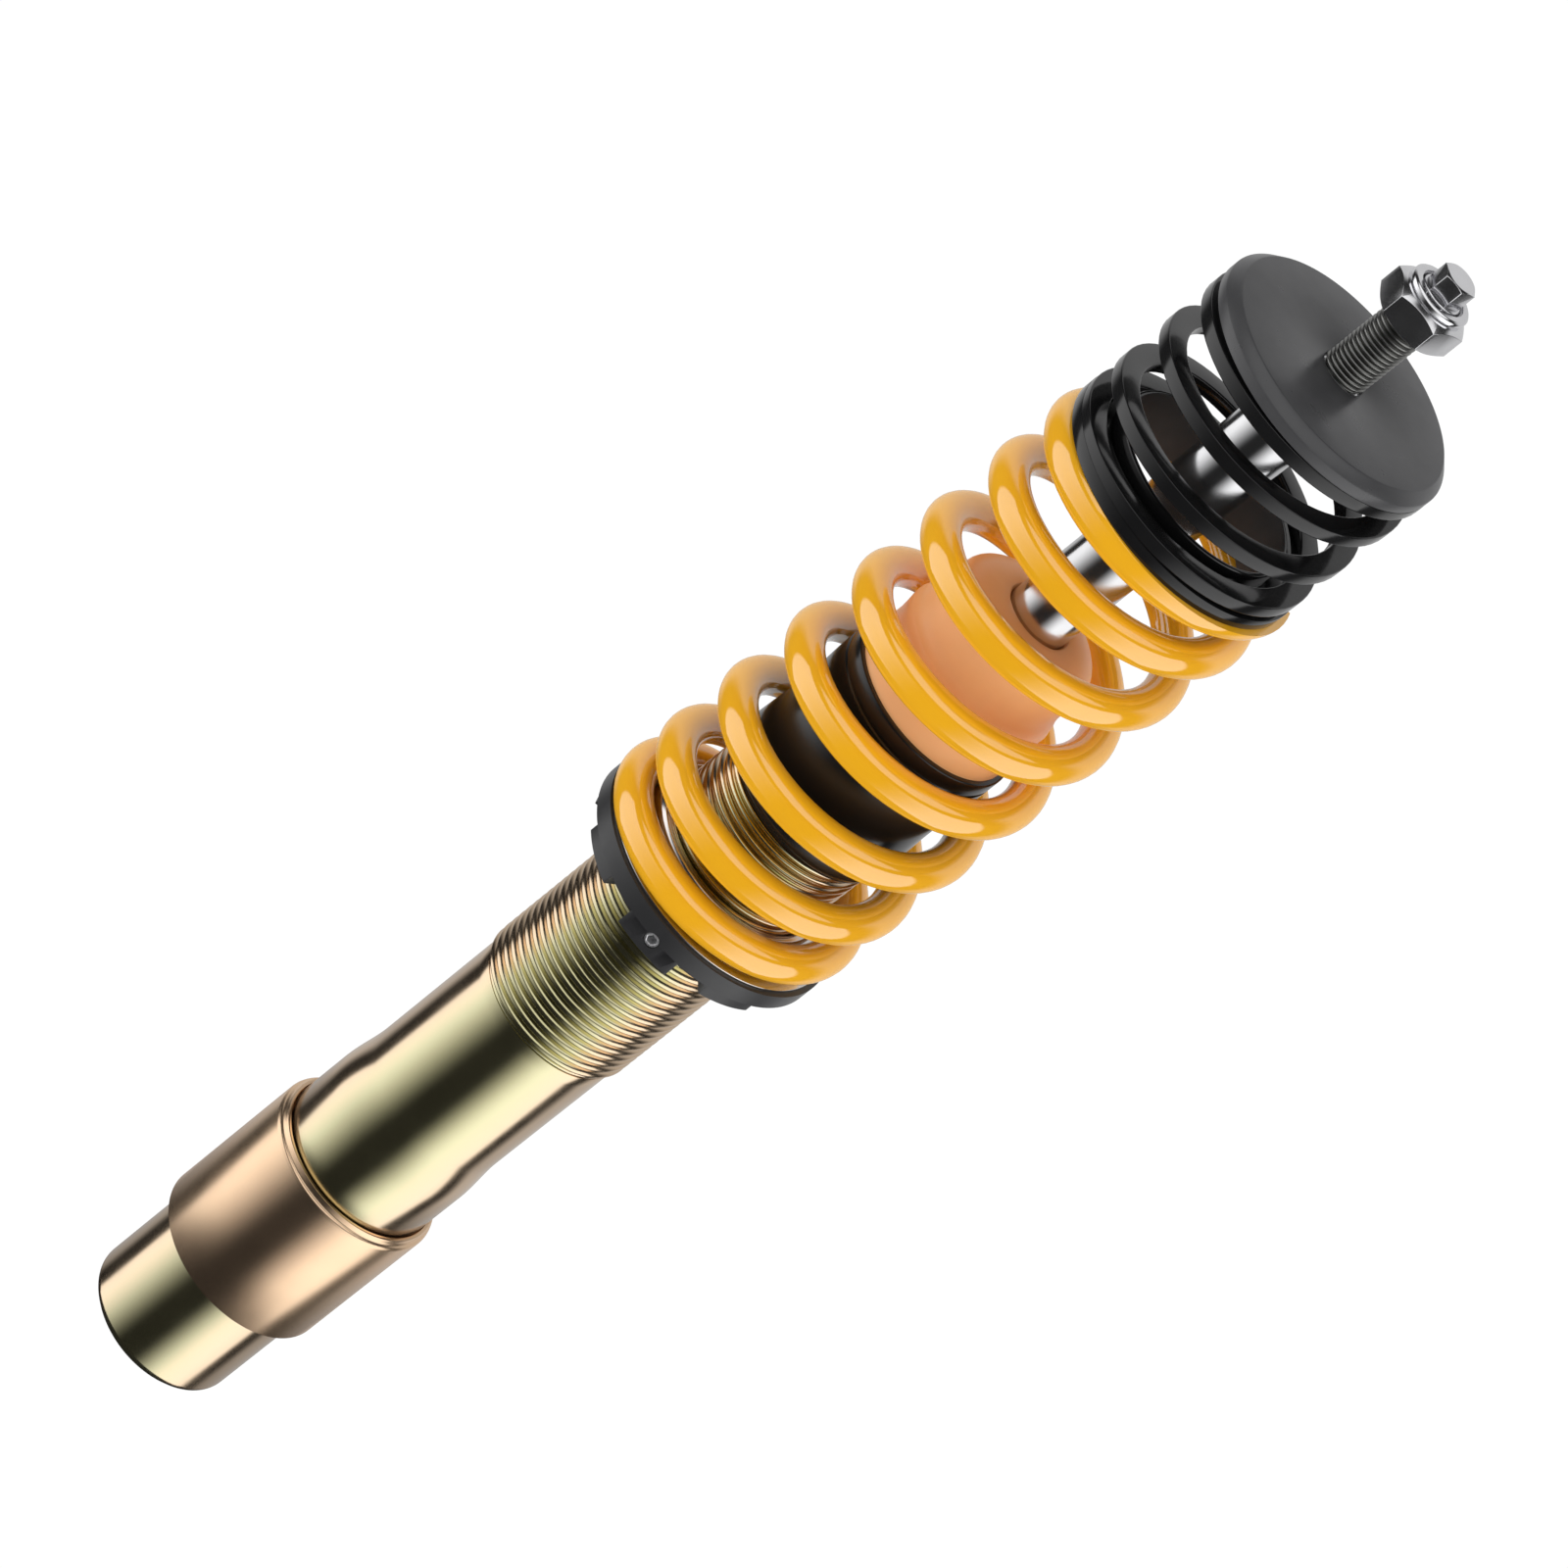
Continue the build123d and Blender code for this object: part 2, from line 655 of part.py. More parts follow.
def adjuster_collar():
    """The threaded collar that carries the spring: a flange on a notched hub, with one wide land."""
    outline = [
        (COLLAR_BORE_R, HUB_LOW + 1),
        (COLLAR_BORE_R + 1, HUB_LOW),
        (HUB_R - 0.5, HUB_LOW),
        (HUB_R, HUB_LOW + 0.5),
        (HUB_R, FLANGE_LOW),
        (COLLAR_R - 0.3, FLANGE_LOW),
        (COLLAR_R, FLANGE_LOW + 0.3),
        (COLLAR_R, FLANGE_TOP - 0.3),
        (COLLAR_R - 0.3, FLANGE_TOP),
        (COLLAR_BORE_R, FLANGE_TOP),
    ]
    collar = turned(outline)
    land_outline = [
        (HUB_R - LAND_INSET, HUB_LOW),
        (COLLAR_R - 0.5, HUB_LOW),
        (COLLAR_R, HUB_LOW + 0.5),
        (COLLAR_R, FLANGE_LOW + 1),
        (HUB_R - LAND_INSET, FLANGE_LOW + 1),
    ]
    collar += turned(land_outline) & sector(LAND_AZIMUTH, NOTCH_PITCH - NOTCH_ANGLE)
    notch_ring = ring(COLLAR_BORE_R - 1, COLLAR_R + 1, HUB_LOW - 1, HUB_LOW + NOTCH_DEPTH)
    for i in range(NOTCH_COUNT):
        azimuth = LAND_AZIMUTH + (i + 0.5) * NOTCH_PITCH
        collar -= notch_ring & sector(azimuth, NOTCH_ANGLE)
    screw_hole = Cylinder(SCREW_R + FIT_GAP, COLLAR_R - COLLAR_BORE_R + 4)
    middle = (COLLAR_BORE_R + COLLAR_R) / 2
    return collar - radial(middle, SCREW_Z) * screw_hole


def set_screw():
    """The socket set screw that locks the collar on the thread."""
    outer = COLLAR_R - SCREW_SINK
    body = radial(outer - SCREW_LENGTH / 2, SCREW_Z) * Cylinder(SCREW_R, SCREW_LENGTH)
    socket = extrude(RegularPolygon(SOCKET_AF / math.sqrt(3), 6), SOCKET_DEPTH + 1)
    return body - radial(outer - SOCKET_DEPTH, SCREW_Z) * socket


def lock_pad():
    """The soft pad that the set screw presses against the thread."""
    inner = COLLAR_BORE_R + FIT_GAP
    outer = COLLAR_R - SCREW_SINK - SCREW_LENGTH - FIT_GAP
    return radial((inner + outer) / 2, SCREW_Z) * Cylinder(SCREW_R - FIT_GAP, outer - inner)


def spring_seat_ring():
    """The smooth ring that turns on the collar under the spring and centres its lower coil."""
    disc_r = COLLAR_R - SEAT_DISC_STEP
    outline = [
        (COLLAR_BORE_R, FLANGE_TOP),
        (disc_r, FLANGE_TOP),
        (disc_r, SEAT_Z),
        (PILOT_R, SEAT_Z),
        (PILOT_R, SEAT_Z + PILOT_H - 0.8),
        (PILOT_R - 0.8, SEAT_Z + PILOT_H),
        (COLLAR_BORE_R + 0.8, SEAT_Z + PILOT_H),
        (COLLAR_BORE_R, SEAT_Z + PILOT_H - 1.2),
    ]
    return turned(outline)


# ======================= the springs and the ring between them =======================


def main_spring():
    """The main spring, wound from round wire, its ends ground flat."""
    path = coil_path(COIL_R, SEAT_Z - MAIN_LOW_DROP, MAIN_START_AZIMUTH, MAIN_TURNS, main_heights)
    coil = wound(path, Circle(WIRE_D / 2))
    return coil & ring(COIL_R - WIRE_D, COIL_R + WIRE_D, SEAT_Z, MAIN_TOP)


def coupling_ring():
    """The ring between the two springs: a thin flange on a sleeve that centres both."""
    inner = PILOT_R - RING_SLEEVE_WALL
    low = MAIN_TOP - RING_NECK_DOWN
    high = RING_TOP + RING_NECK_UP
    outline = [
        (inner, low + 0.5),
        (inner + 0.5, low),
        (PILOT_R - 0.5, low),
        (PILOT_R, low + 0.8),
        (PILOT_R, MAIN_TOP),
        (RING_R - 0.4, MAIN_TOP),
        (RING_R, MAIN_TOP + 0.4),
        (RING_R, RING_TOP - 0.4),
        (RING_R - 0.4, RING_TOP),
        (PILOT_R, RING_TOP),
        (PILOT_R, high - 0.6),
        (PILOT_R - 0.5, high),
        (inner, high),
    ]
    return turned(outline)


def helper_spring():
    """The helper spring, wound from flat wire, its ends ground flat."""
    path = coil_path(BAND_R, HELPER_START, HELPER_START_AZIMUTH, HELPER_TURNS, helper_heights)
    coil = wound(path, Rectangle(BAND_W, BAND_H))
    return coil & ring(BAND_R - BAND_W, BAND_R + BAND_W, RING_TOP, PLATE_LOW)


# ======================= the upper plate and the nut =======================


def upper_spring_plate():
    """The plate that the car's top mount sits on."""
    outline = [
        (PLATE_BUSH_R, PLATE_LOW),
        (PLATE_R - 0.4, PLATE_LOW),
        (PLATE_R, PLATE_LOW + 0.4),
        (PLATE_R, PLATE_TOP - PLATE_CHAMFER),
        (PLATE_R - PLATE_CHAMFER, PLATE_TOP),
        (PLATE_BUSH_R, PLATE_TOP),
    ]
    return turned(outline)


def plate_bush():
    """The bush that lets the plate turn on the stud."""
    return ring(STUD_R + RUN_GAP, PLATE_BUSH_R - FIT_GAP, PLATE_LOW, PLATE_TOP)


def top_nut():
    """The self-locking nut: a hexagon with a round collar for the locking insert."""
    hex_top = NUT_Z + NUT_HEX_H
    nut_top = hex_top + NUT_COLLAR_H
    nut = chamfered_hexagon(NUT_AF, NUT_Z, hex_top, True, True, 271)
    nut += disc(NUT_COLLAR_R, hex_top - 1, nut_top)
    nut -= disc(STUD_R + FIT_GAP, NUT_Z - 1, nut_top + 1)
    nut -= disc(NUT_COLLAR_R - NUT_RIM, hex_top + 0.2, nut_top - 0.6)
    return nut


def locking_insert():
    """The insert in the nut's collar that grips the stud."""
    low = NUT_Z + NUT_HEX_H + 0.2
    high = low + NUT_COLLAR_H - 0.8
    return ring(STUD_R + FIT_GAP, NUT_COLLAR_R - NUT_RIM - FIT_GAP, low, high - FIT_GAP)


pieces = {
    "strut_tube": strut_tube(),
    "clamp_sleeve": clamp_sleeve(),
    "base_cap": base_cap(),
    "base_valve": base_valve(),
    "pressure_tube": pressure_tube(),
    "rod_guide": rod_guide(),
    "guide_bush": guide_bush(),
    "rod_seal": rod_seal(),
    "seal_o_ring": seal_o_ring(),
    "gland_nut": gland_nut(),
    "wiper_seal": wiper_seal(),
    "bump_stop_cup": bump_stop_cup(),
    "bump_stop": bump_stop(),
    "piston_rod": piston_rod(),
    "piston": piston(),
    "piston_band": piston_band(),
    "compression_shims": shim_stack(PISTON_LOW + PISTON_H, False),
    "rebound_shims": shim_stack(PISTON_NUT_TOP, True),
    "piston_nut": piston_nut(),
    "rebound_stop": rebound_stop(),
    "rebound_buffer": rebound_buffer(),
    "adjuster_collar": adjuster_collar(),
    "set_screw": set_screw(),
    "lock_pad": lock_pad(),
    "spring_seat_ring": spring_seat_ring(),
    "main_spring": main_spring(),
    "coupling_ring": coupling_ring(),
    "helper_spring": helper_spring(),
    "upper_spring_plate": upper_spring_plate(),
    "plate_bush": plate_bush(),
    "top_nut": top_nut(),
    "locking_insert": locking_insert(),
}

for name, shape in pieces.items():
    export_step(shape, f"parts/{name}.step")

print(f"damper stroke {STROKE:.2f} mm")
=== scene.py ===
import math

import bpy
from mathutils import Matrix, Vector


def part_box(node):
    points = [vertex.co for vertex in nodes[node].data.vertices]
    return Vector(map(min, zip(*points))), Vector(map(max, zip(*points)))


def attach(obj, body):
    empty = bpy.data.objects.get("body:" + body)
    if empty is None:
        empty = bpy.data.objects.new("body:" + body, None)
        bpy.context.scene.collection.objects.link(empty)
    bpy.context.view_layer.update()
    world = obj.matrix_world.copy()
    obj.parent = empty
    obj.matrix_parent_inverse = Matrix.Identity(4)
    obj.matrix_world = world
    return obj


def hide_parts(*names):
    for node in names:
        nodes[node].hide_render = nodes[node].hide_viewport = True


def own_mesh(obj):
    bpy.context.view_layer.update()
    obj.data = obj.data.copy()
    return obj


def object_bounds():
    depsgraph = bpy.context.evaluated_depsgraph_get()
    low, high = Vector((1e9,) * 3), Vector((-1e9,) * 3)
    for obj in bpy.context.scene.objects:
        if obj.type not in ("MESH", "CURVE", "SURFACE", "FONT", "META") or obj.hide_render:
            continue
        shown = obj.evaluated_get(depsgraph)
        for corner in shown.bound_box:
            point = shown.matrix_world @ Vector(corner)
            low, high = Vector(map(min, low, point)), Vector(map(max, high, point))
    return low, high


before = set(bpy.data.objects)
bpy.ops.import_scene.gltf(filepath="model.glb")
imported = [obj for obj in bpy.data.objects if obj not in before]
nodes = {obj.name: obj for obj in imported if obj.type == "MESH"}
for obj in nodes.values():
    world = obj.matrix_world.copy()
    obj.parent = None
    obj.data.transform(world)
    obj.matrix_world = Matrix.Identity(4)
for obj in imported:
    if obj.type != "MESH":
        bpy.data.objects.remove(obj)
cad_low, cad_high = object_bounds()

# Sizes are in metres. MM turns a size in millimetres into metres.
MM = 0.001
ROUND_STEPS = 160  # facets round a turned piece
COIL_STEPS = 72  # facets per turn of a thread or a spring
MERGE = 1e-6  # points closer than this are one point
SMOOTH_ANGLE = math.radians(32)
AXIS = (0, 0, 1)
FRONT = -90.0  # direction of -Y, in degrees about the strut's axis

# ---- stations of the strut, read from the frame ----
TUBE_LOW, TUBE_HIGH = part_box("strut_tube")
SLEEVE_LOW, SLEEVE_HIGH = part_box("clamp_sleeve")
CUP_LOW, CUP_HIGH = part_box("bump_stop_cup")
STOP_LOW, STOP_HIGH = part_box("bump_stop")
COLLAR_LOW, COLLAR_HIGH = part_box("adjuster_collar")
SEAT_LOW, SEAT_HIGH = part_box("spring_seat_ring")
MAIN_LOW, MAIN_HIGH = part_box("main_spring")
RING_LOW, RING_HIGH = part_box("coupling_ring")
HELPER_LOW, HELPER_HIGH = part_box("helper_spring")
PLATE_LOW, PLATE_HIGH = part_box("upper_spring_plate")
ROD_LOW, ROD_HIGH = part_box("piston_rod")
NUT_LOW, NUT_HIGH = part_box("top_nut")

# ---- sizes of the visible pieces ----
FOOT_R = 25.0 * MM
TUBE_R = 24.7 * MM
SHOULDER_R = 26.0 * MM
TUBE_BORE_R = 22.4 * MM
SPIGOT_R = 24.35 * MM
SHOULDER_TOP = 110.7 * MM
TAPER_TOP = 127.7 * MM
THREAD_LOW = 177.2 * MM
THREAD_R = 26.0 * MM
THREAD_ROOT_R = 24.4 * MM
THREAD_PITCH = 3.0 * MM
SLEEVE_R = SLEEVE_HIGH.x
CUP_R = CUP_HIGH.x
STUD_R = 7.0 * MM
STUD_ROOT_R = 6.1 * MM
STUD_PITCH = 1.5 * MM
STUD_H = 35.5 * MM
ROD_R = ROD_HIGH.x
HEX_AF = 10.0 * MM
NUT_AF = 22.0 * MM
WIRE_R = 5.6 * MM
COIL_R = MAIN_HIGH.x - WIRE_R
BAND_W = 6.8 * MM
BAND_H = 4.2 * MM
BAND_R = HELPER_HIGH.x - BAND_W / 2
SLEEVE_SEAT = 3.4 * MM  # how far the tube's shoulder reaches up into the sleeve
CUP_BORE_R = 24.42 * MM
CUP_WALL = 1.6 * MM
CUP_DEPTH = 18 * MM
CUP_HOLE_R = 12 * MM
CUP_GROOVE_DEPTH = 0.45 * MM
COLLAR_R = 40.8 * MM
COLLAR_HUB_R = 38.2 * MM
COLLAR_BORE_R = 26.3 * MM
COLLAR_FLANGE_RISE = 5.5 * MM
NOTCH_COUNT = 8
NOTCH_PITCH = 360 / NOTCH_COUNT
NOTCH_ANGLE = 17.5
NOTCH_DEPTH = 3.4 * MM
LAND_AZIMUTH = 273.5
SCREW_R = 2.3 * MM
SCREW_Z = 240.6 * MM
SCREW_FACE_R = 40.4 * MM
SCREW_LENGTH = 8 * MM
SOCKET_AF = 2.7 * MM
SOCKET_DEPTH = 5 * MM
SEAT_DISC_R = 39.2 * MM
SEAT_DISC_H = 0.8 * MM
PILOT_R = 29.7 * MM  # what centres the springs' bores
RING_BORE_R = 28.35 * MM
MAIN_TURNS = 7.85
MAIN_AZIMUTH = 67
MAIN_DROP = 1 * MM  # how far the wire's centre starts below the lower ground face
HELPER_TURNS = 4.37
HELPER_AZIMUTH = 30
HELPER_DROP = 3.6 * MM  # how far the band's underside starts below the lower face
PLATE_CHAMFER = 2.9 * MM
ROD_FOOT = 263.0 * MM
SPIGOT_ROD_R = 6 * MM  # the rod's thinner end, which carries the piston
STUD_CORE_R = 3 * MM
THREAD_START = 1 * MM  # how far the stud's thread starts below the plate's face
NUT_HEX_H = 9.3 * MM
NUT_COLLAR_R = 9.8 * MM


# ======================= modelling helpers =======================


def start_clean():
    """Leaves edit mode and deselects everything."""
    if bpy.context.object and bpy.context.object.mode != "OBJECT":
        bpy.ops.object.mode_set(mode="OBJECT")
    bpy.ops.object.select_all(action="DESELECT")


def make_active(piece):
    start_clean()
    piece.select_set(True)
    bpy.context.view_layer.objects.active = piece


def settle(piece, smooth=True):
    """Puts the piece's origin at the world's origin with its place in its mesh, and shades it."""
    make_active(piece)
    bpy.ops.object.transform_apply(location=True, rotation=True, scale=True)
    if smooth:
        bpy.ops.object.shade_smooth_by_angle(angle=SMOOTH_ANGLE)
    return piece


def apply_modifier(piece, kind, **settings):
    """Adds a modifier, sets it up and applies it."""
    make_active(piece)
    modifier = piece.modifiers.new(kind.lower(), kind)
    for key, value in settings.items():
        setattr(modifier, key, value)
    bpy.ops.object.modifier_apply(modifier=modifier.name)


def bevel_edges(piece, width, segments=2, angle=28):
    apply_modifier(
        piece,
        "BEVEL",
        width=width,
        segments=segments,
        limit_method="ANGLE",
        angle_limit=math.radians(angle),
        use_clamp_overlap=True,
    )


def merge_points():
    """Joins the edited mesh's points that lie on each other."""
    bpy.ops.mesh.select_all(action="SELECT")
    bpy.ops.mesh.remove_doubles(threshold=MERGE)


def face_outwards():
    bpy.ops.mesh.select_all(action="SELECT")
    bpy.ops.mesh.normals_make_consistent(inside=False)


def draw_outline(name, outline, closed):
    """A chain of edges in the XZ plane through (radius, height) corners, extruded point by point."""
    start_clean()
    first = outline[0]
    bpy.ops.mesh.primitive_plane_add(size=MM, location=(first[0], 0, first[1]))
    piece = bpy.context.object
    piece.name = name
    bpy.ops.object.mode_set(mode="EDIT")
    bpy.ops.mesh.select_mode(type="VERT")
    bpy.ops.mesh.select_all(action="SELECT")
    bpy.ops.mesh.merge(type="CENTER")
    for before, after in zip(outline, outline[1:]):
        step = (after[0] - before[0], 0, after[1] - before[1])
        bpy.ops.mesh.extrude_region_move(TRANSFORM_OT_translate={"value": step})
    if closed:
        bpy.ops.object.mode_set(mode="OBJECT")
        piece.data.vertices[0].select = True
        piece.data.vertices[len(outline) - 1].select = True
        bpy.ops.object.mode_set(mode="EDIT")
        bpy.ops.mesh.edge_face_add()
    return piece


def turned(name, outline, bevel=0.25 * MM, steps=ROUND_STEPS, closed=True):
    """A turned piece from (radius, height) corners in metres. closed joins the last corner to the first."""
    piece = draw_outline(name, outline, closed)
    bpy.ops.mesh.select_all(action="SELECT")
    bpy.ops.mesh.spin(steps=steps, angle=2 * math.pi, center=(0, 0, 0), axis=AXIS)
    merge_points()
    face_outwards()
    bpy.ops.object.mode_set(mode="OBJECT")
    settle(piece, smooth=False)
    if bevel:
        bevel_edges(piece, bevel)
    return settle(piece)


def arc(centre, radius, start, end, count):
    """Corners on an arc of an outline. Angles are in degrees from the radial direction."""
    corners = []
    for i in range(count + 1):
        angle = math.radians(start + (end - start) * i / count)
        corners.append((centre[0] + radius * math.cos(angle), centre[1] + radius * math.sin(angle)))
    return corners


def smoothstep(x):
    x = min(1.0, max(0.0, x))
    return x * x * (3 - 2 * x)


def cut(piece, cutter, operation="DIFFERENCE"):
    """Cuts a piece with another one, which is used up."""
    apply_modifier(piece, "BOOLEAN", object=cutter, operation=operation, solver="EXACT")
    bpy.data.objects.remove(cutter)
    return piece


def join(first, *others):
    start_clean()
    for piece in (first, *others):
        piece.select_set(True)
    bpy.context.view_layer.objects.active = first
    bpy.ops.object.join()
    return first


def hexagon(name, across_flats, low, high, turn):
    """A hexagonal bar with one flat facing the direction turn, in degrees."""
    start_clean()
    bpy.ops.mesh.primitive_cylinder_add(
        vertices=6,
        radius=across_flats / math.sqrt(3),
        depth=high - low,
        location=(0, 0, (low + high) / 2),
        rotation=(0, 0, math.radians(turn)),
    )
    piece = bpy.context.object
    piece.name = name
    return settle(piece, smooth=False)


def helical_thread(name, low, high, pitch, crest_r, root_r, fade_low, fade_high, bore_r):
    """A right-handed thread whose ridge runs out at both ends, as a closed tube with a smooth bore."""
    profile = []
    points = 12
    sharpness = 0.75  # 1 is a plain sine, and less makes the ridge broader
    spare_turns = 4  # cut off again at both ends
    for i in range(points + 1):
        share = i / points
        lift = math.sin(math.pi * share) ** sharpness if 0 < i < points else 0.0
        height = low - pitch * spare_turns / 2 + share * pitch
        profile.append((root_r + (crest_r - root_r) * lift, height))
    piece = draw_outline(name, profile, closed=False)
    bpy.ops.object.mode_set(mode="OBJECT")
    settle(piece, smooth=False)
    turns = math.ceil((high - low) / pitch) + spare_turns
    apply_modifier(
        piece,
        "SCREW",
        axis="Z",
        angle=2 * math.pi,
        screw_offset=pitch,
        iterations=turns,
        steps=COIL_STEPS,
        render_steps=COIL_STEPS,
        use_merge_vertices=True,
        merge_threshold=MERGE,
    )
    make_active(piece)
    bpy.ops.object.mode_set(mode="EDIT")
    for plane_z, keep_above in ((low, True), (high, False)):
        bpy.ops.mesh.select_all(action="SELECT")
        bpy.ops.mesh.bisect(
            plane_co=(0, 0, plane_z),
            plane_no=AXIS,
            clear_inner=keep_above,
            clear_outer=not keep_above,
        )
    merge_points()
    bpy.ops.object.mode_set(mode="OBJECT")
    for vertex in piece.data.vertices:
        x, y, z = vertex.co
        radius = math.hypot(x, y)
        keep = smoothstep((z - fade_low) / pitch) * smoothstep((fade_high - z) / pitch)
        wanted = root_r + (radius - root_r) * keep
        vertex.co = (x * wanted / radius, y * wanted / radius, z)
    shrink = bore_r / root_r
    for plane_z in (low, high):
        select_vertices(piece, lambda co: abs(co.z - plane_z) < MERGE)
        bpy.ops.mesh.extrude_region_move()
        bpy.ops.transform.resize(value=(shrink, shrink, 1), center_override=(0, 0, plane_z))
        bpy.ops.object.mode_set(mode="OBJECT")
    select_vertices(piece, lambda co: math.hypot(co.x, co.y) < bore_r + 0.02 * MM)
    bpy.ops.mesh.select_mode(type="EDGE")
    bpy.ops.mesh.bridge_edge_loops()
    face_outwards()
    bpy.ops.object.mode_set(mode="OBJECT")
    return settle(piece)


def select_vertices(piece, wanted):
    """Enters edit mode with exactly the vertices selected whose place is wanted."""
    make_active(piece)
    bpy.ops.object.mode_set(mode="EDIT")
    bpy.ops.mesh.select_mode(type="VERT")
    bpy.ops.mesh.select_all(action="DESELECT")
    bpy.ops.object.mode_set(mode="OBJECT")
    for vertex in piece.data.vertices:
        vertex.select = wanted(vertex.co)
    bpy.ops.object.mode_set(mode="EDIT")


def coil_heights(turns, pitch, low_pitch, low_turns, top_pitch, top_turns):
    """Heights along a spring whose pitch grows from its lower end and shrinks to its upper end."""
    count = round(turns * COIL_STEPS)
    step = turns / count
    heights = [0.0]
    for i in range(count):
        turn = (i + 0.5) * step
        rising = low_pitch + (pitch - low_pitch) * min(1, turn / low_turns)
        falling = top_pitch + (pitch - top_pitch) * min(1, (turns - turn) / top_turns)
        heights.append(heights[-1] + min(rising, falling) * step)
    return heights


def wound(name, radius, start_z, start_azimuth, turns, heights, wire_r=0.0, section=None):
    """A spring as a wire along its centreline, round or of a flat section, made into a mesh."""
    curve = bpy.data.curves.new(name, "CURVE")
    curve.dimensions = "3D"
    curve.twist_mode = "Z_UP"
    curve.use_fill_caps = True
    spline = curve.splines.new("POLY")
    spline.points.add(len(heights) - 1)
    for i, height in enumerate(heights):
        angle = math.radians(start_azimuth) + 2 * math.pi * turns * i / (len(heights) - 1)
        place = (radius * math.cos(angle), radius * math.sin(angle), start_z + height, 1)
        spline.points[i].co = place
    if section:
        curve.bevel_mode = "OBJECT"
        curve.bevel_object = section
    else:
        curve.bevel_depth = wire_r
        curve.bevel_resolution = 10
    piece = bpy.data.objects.new(name, curve)
    bpy.context.scene.collection.objects.link(piece)
    make_active(piece)
    bpy.ops.object.convert(target="MESH")
    if section:
        bpy.data.objects.remove(section)
    return bpy.context.object


def ground_ends(piece, low, high):
    """Grinds a spring's ends flat at two heights."""
    make_active(piece)
    bpy.ops.object.mode_set(mode="EDIT")
    merge_points()
    for plane_z, keep_above in ((low, True), (high, False)):
        bpy.ops.mesh.select_all(action="SELECT")
        bpy.ops.mesh.bisect(
            plane_co=(0, 0, plane_z),
            plane_no=AXIS,
            use_fill=True,
            clear_inner=keep_above,
            clear_outer=not keep_above,
        )
    face_outwards()
    bpy.ops.object.mode_set(mode="OBJECT")
    return settle(piece)


def press_between(piece, low, high):
    """Flattens a spring's end coils onto two heights, so its ends sit flat and its mesh stays closed."""
    make_active(piece)
    bpy.ops.object.mode_set(mode="EDIT")
    merge_points()
    face_outwards()
    bpy.ops.object.mode_set(mode="OBJECT")
    for vertex in piece.data.vertices:
        vertex.co.z = min(high, max(low, vertex.co.z))
    return settle(piece)


def flat_section(width, height, corner, per_corner=4):
    """The rounded rectangle of a flat wire, as a closed curve in its own XY plane."""
    curve = bpy.data.curves.new("band_section", "CURVE")
    curve.dimensions = "2D"
    spline = curve.splines.new("POLY")
    corners = []
    for quarter in range(4):
        side_x = 1 if quarter in (0, 3) else -1
        side_y = 1 if quarter in (0, 1) else -1
        for i in range(per_corner + 1):
            angle = math.radians(90 * quarter + 90 * i / per_corner)
            x = side_x * (width / 2 - corner) + corner * math.cos(angle)
            y = side_y * (height / 2 - corner) + corner * math.sin(angle)
            corners.append((x, y))
    spline.points.add(len(corners) - 1)
    for point, (x, y) in zip(spline.points, corners):
        point.co = (x, y, 0, 1)
    spline.use_cyclic_u = True
    section = bpy.data.objects.new("band_section", curve)
    bpy.context.scene.collection.objects.link(section)
    return section


# ======================= materials =======================


class Finish:
    """A Principled material and short ways to add its nodes."""

    def __init__(self, name, color, metallic, roughness, **sockets):
        self.material = bpy.data.materials.new(name)
        self.material.use_nodes = True
        self.tree = self.material.node_tree
        self.shader = next(n for n in self.tree.nodes if n.type == "BSDF_PRINCIPLED")
        self.shader.inputs["Base Color"].default_value = (*color, 1)
        self.shader.inputs["Metallic"].default_value = metallic
        self.shader.inputs["Roughness"].default_value = roughness
        for socket, value in sockets.items():
            self.shader.inputs[socket.replace("_", " ")].default_value = value
        self.place = self.tree.nodes.new("ShaderNodeTexCoord")

    def node(self, kind, **settings):
        made = self.tree.nodes.new(kind)
        for key, value in settings.items():
            setattr(made, key, value)
        return made

    def link(self, source, target):
        self.tree.links.new(source, target)

    def noise(self, scale, detail=3.0, stretch=(1, 1, 1), roughness=0.55):
        """Noise on the piece's own place. stretch squeezes it along each axis."""
        mapping = self.node("ShaderNodeMapping")
        mapping.inputs["Scale"].default_value = stretch
        self.link(self.place.outputs["Object"], mapping.inputs["Vector"])
        made = self.node("ShaderNodeTexNoise")
        made.inputs["Scale"].default_value = scale
        made.inputs["Detail"].default_value = detail
        made.inputs["Roughness"].default_value = roughness
        self.link(mapping.outputs["Vector"], made.inputs["Vector"])
        return made.outputs["Fac"]

    def ramp(self, source, stops):
        """A colour ramp through (position, colour) stops."""
        made = self.node("ShaderNodeValToRGB")
        elements = made.color_ramp.elements
        while len(elements) < len(stops):
            elements.new(0.5)
        for element, (position, color) in zip(elements, stops):
            element.position = position
            element.color = (*color, 1)
        self.link(source, made.inputs["Fac"])
        return made.outputs["Color"]

    def spread(self, source, low, high):
        """Maps noise's middle range to a range of values."""
        made = self.node("ShaderNodeMapRange")
        made.inputs["From Min"].default_value = 0.3
        made.inputs["From Max"].default_value = 0.7
        made.inputs["To Min"].default_value = low
        made.inputs["To Max"].default_value = high
        self.link(source, made.inputs["Value"])
        return made.outputs["Result"]

    def bump(self, source, strength, distance):
        made = self.node("ShaderNodeBump")
        made.inputs["Strength"].default_value = strength
        made.inputs["Distance"].default_value = distance
        self.link(source, made.inputs["Height"])
        self.link(made.outputs["Normal"], self.shader.inputs["Normal"])

    def color_from(self, source):
        self.link(source, self.shader.inputs["Base Color"])

    def roughness_from(self, source):
        self.link(source, self.shader.inputs["Roughness"])


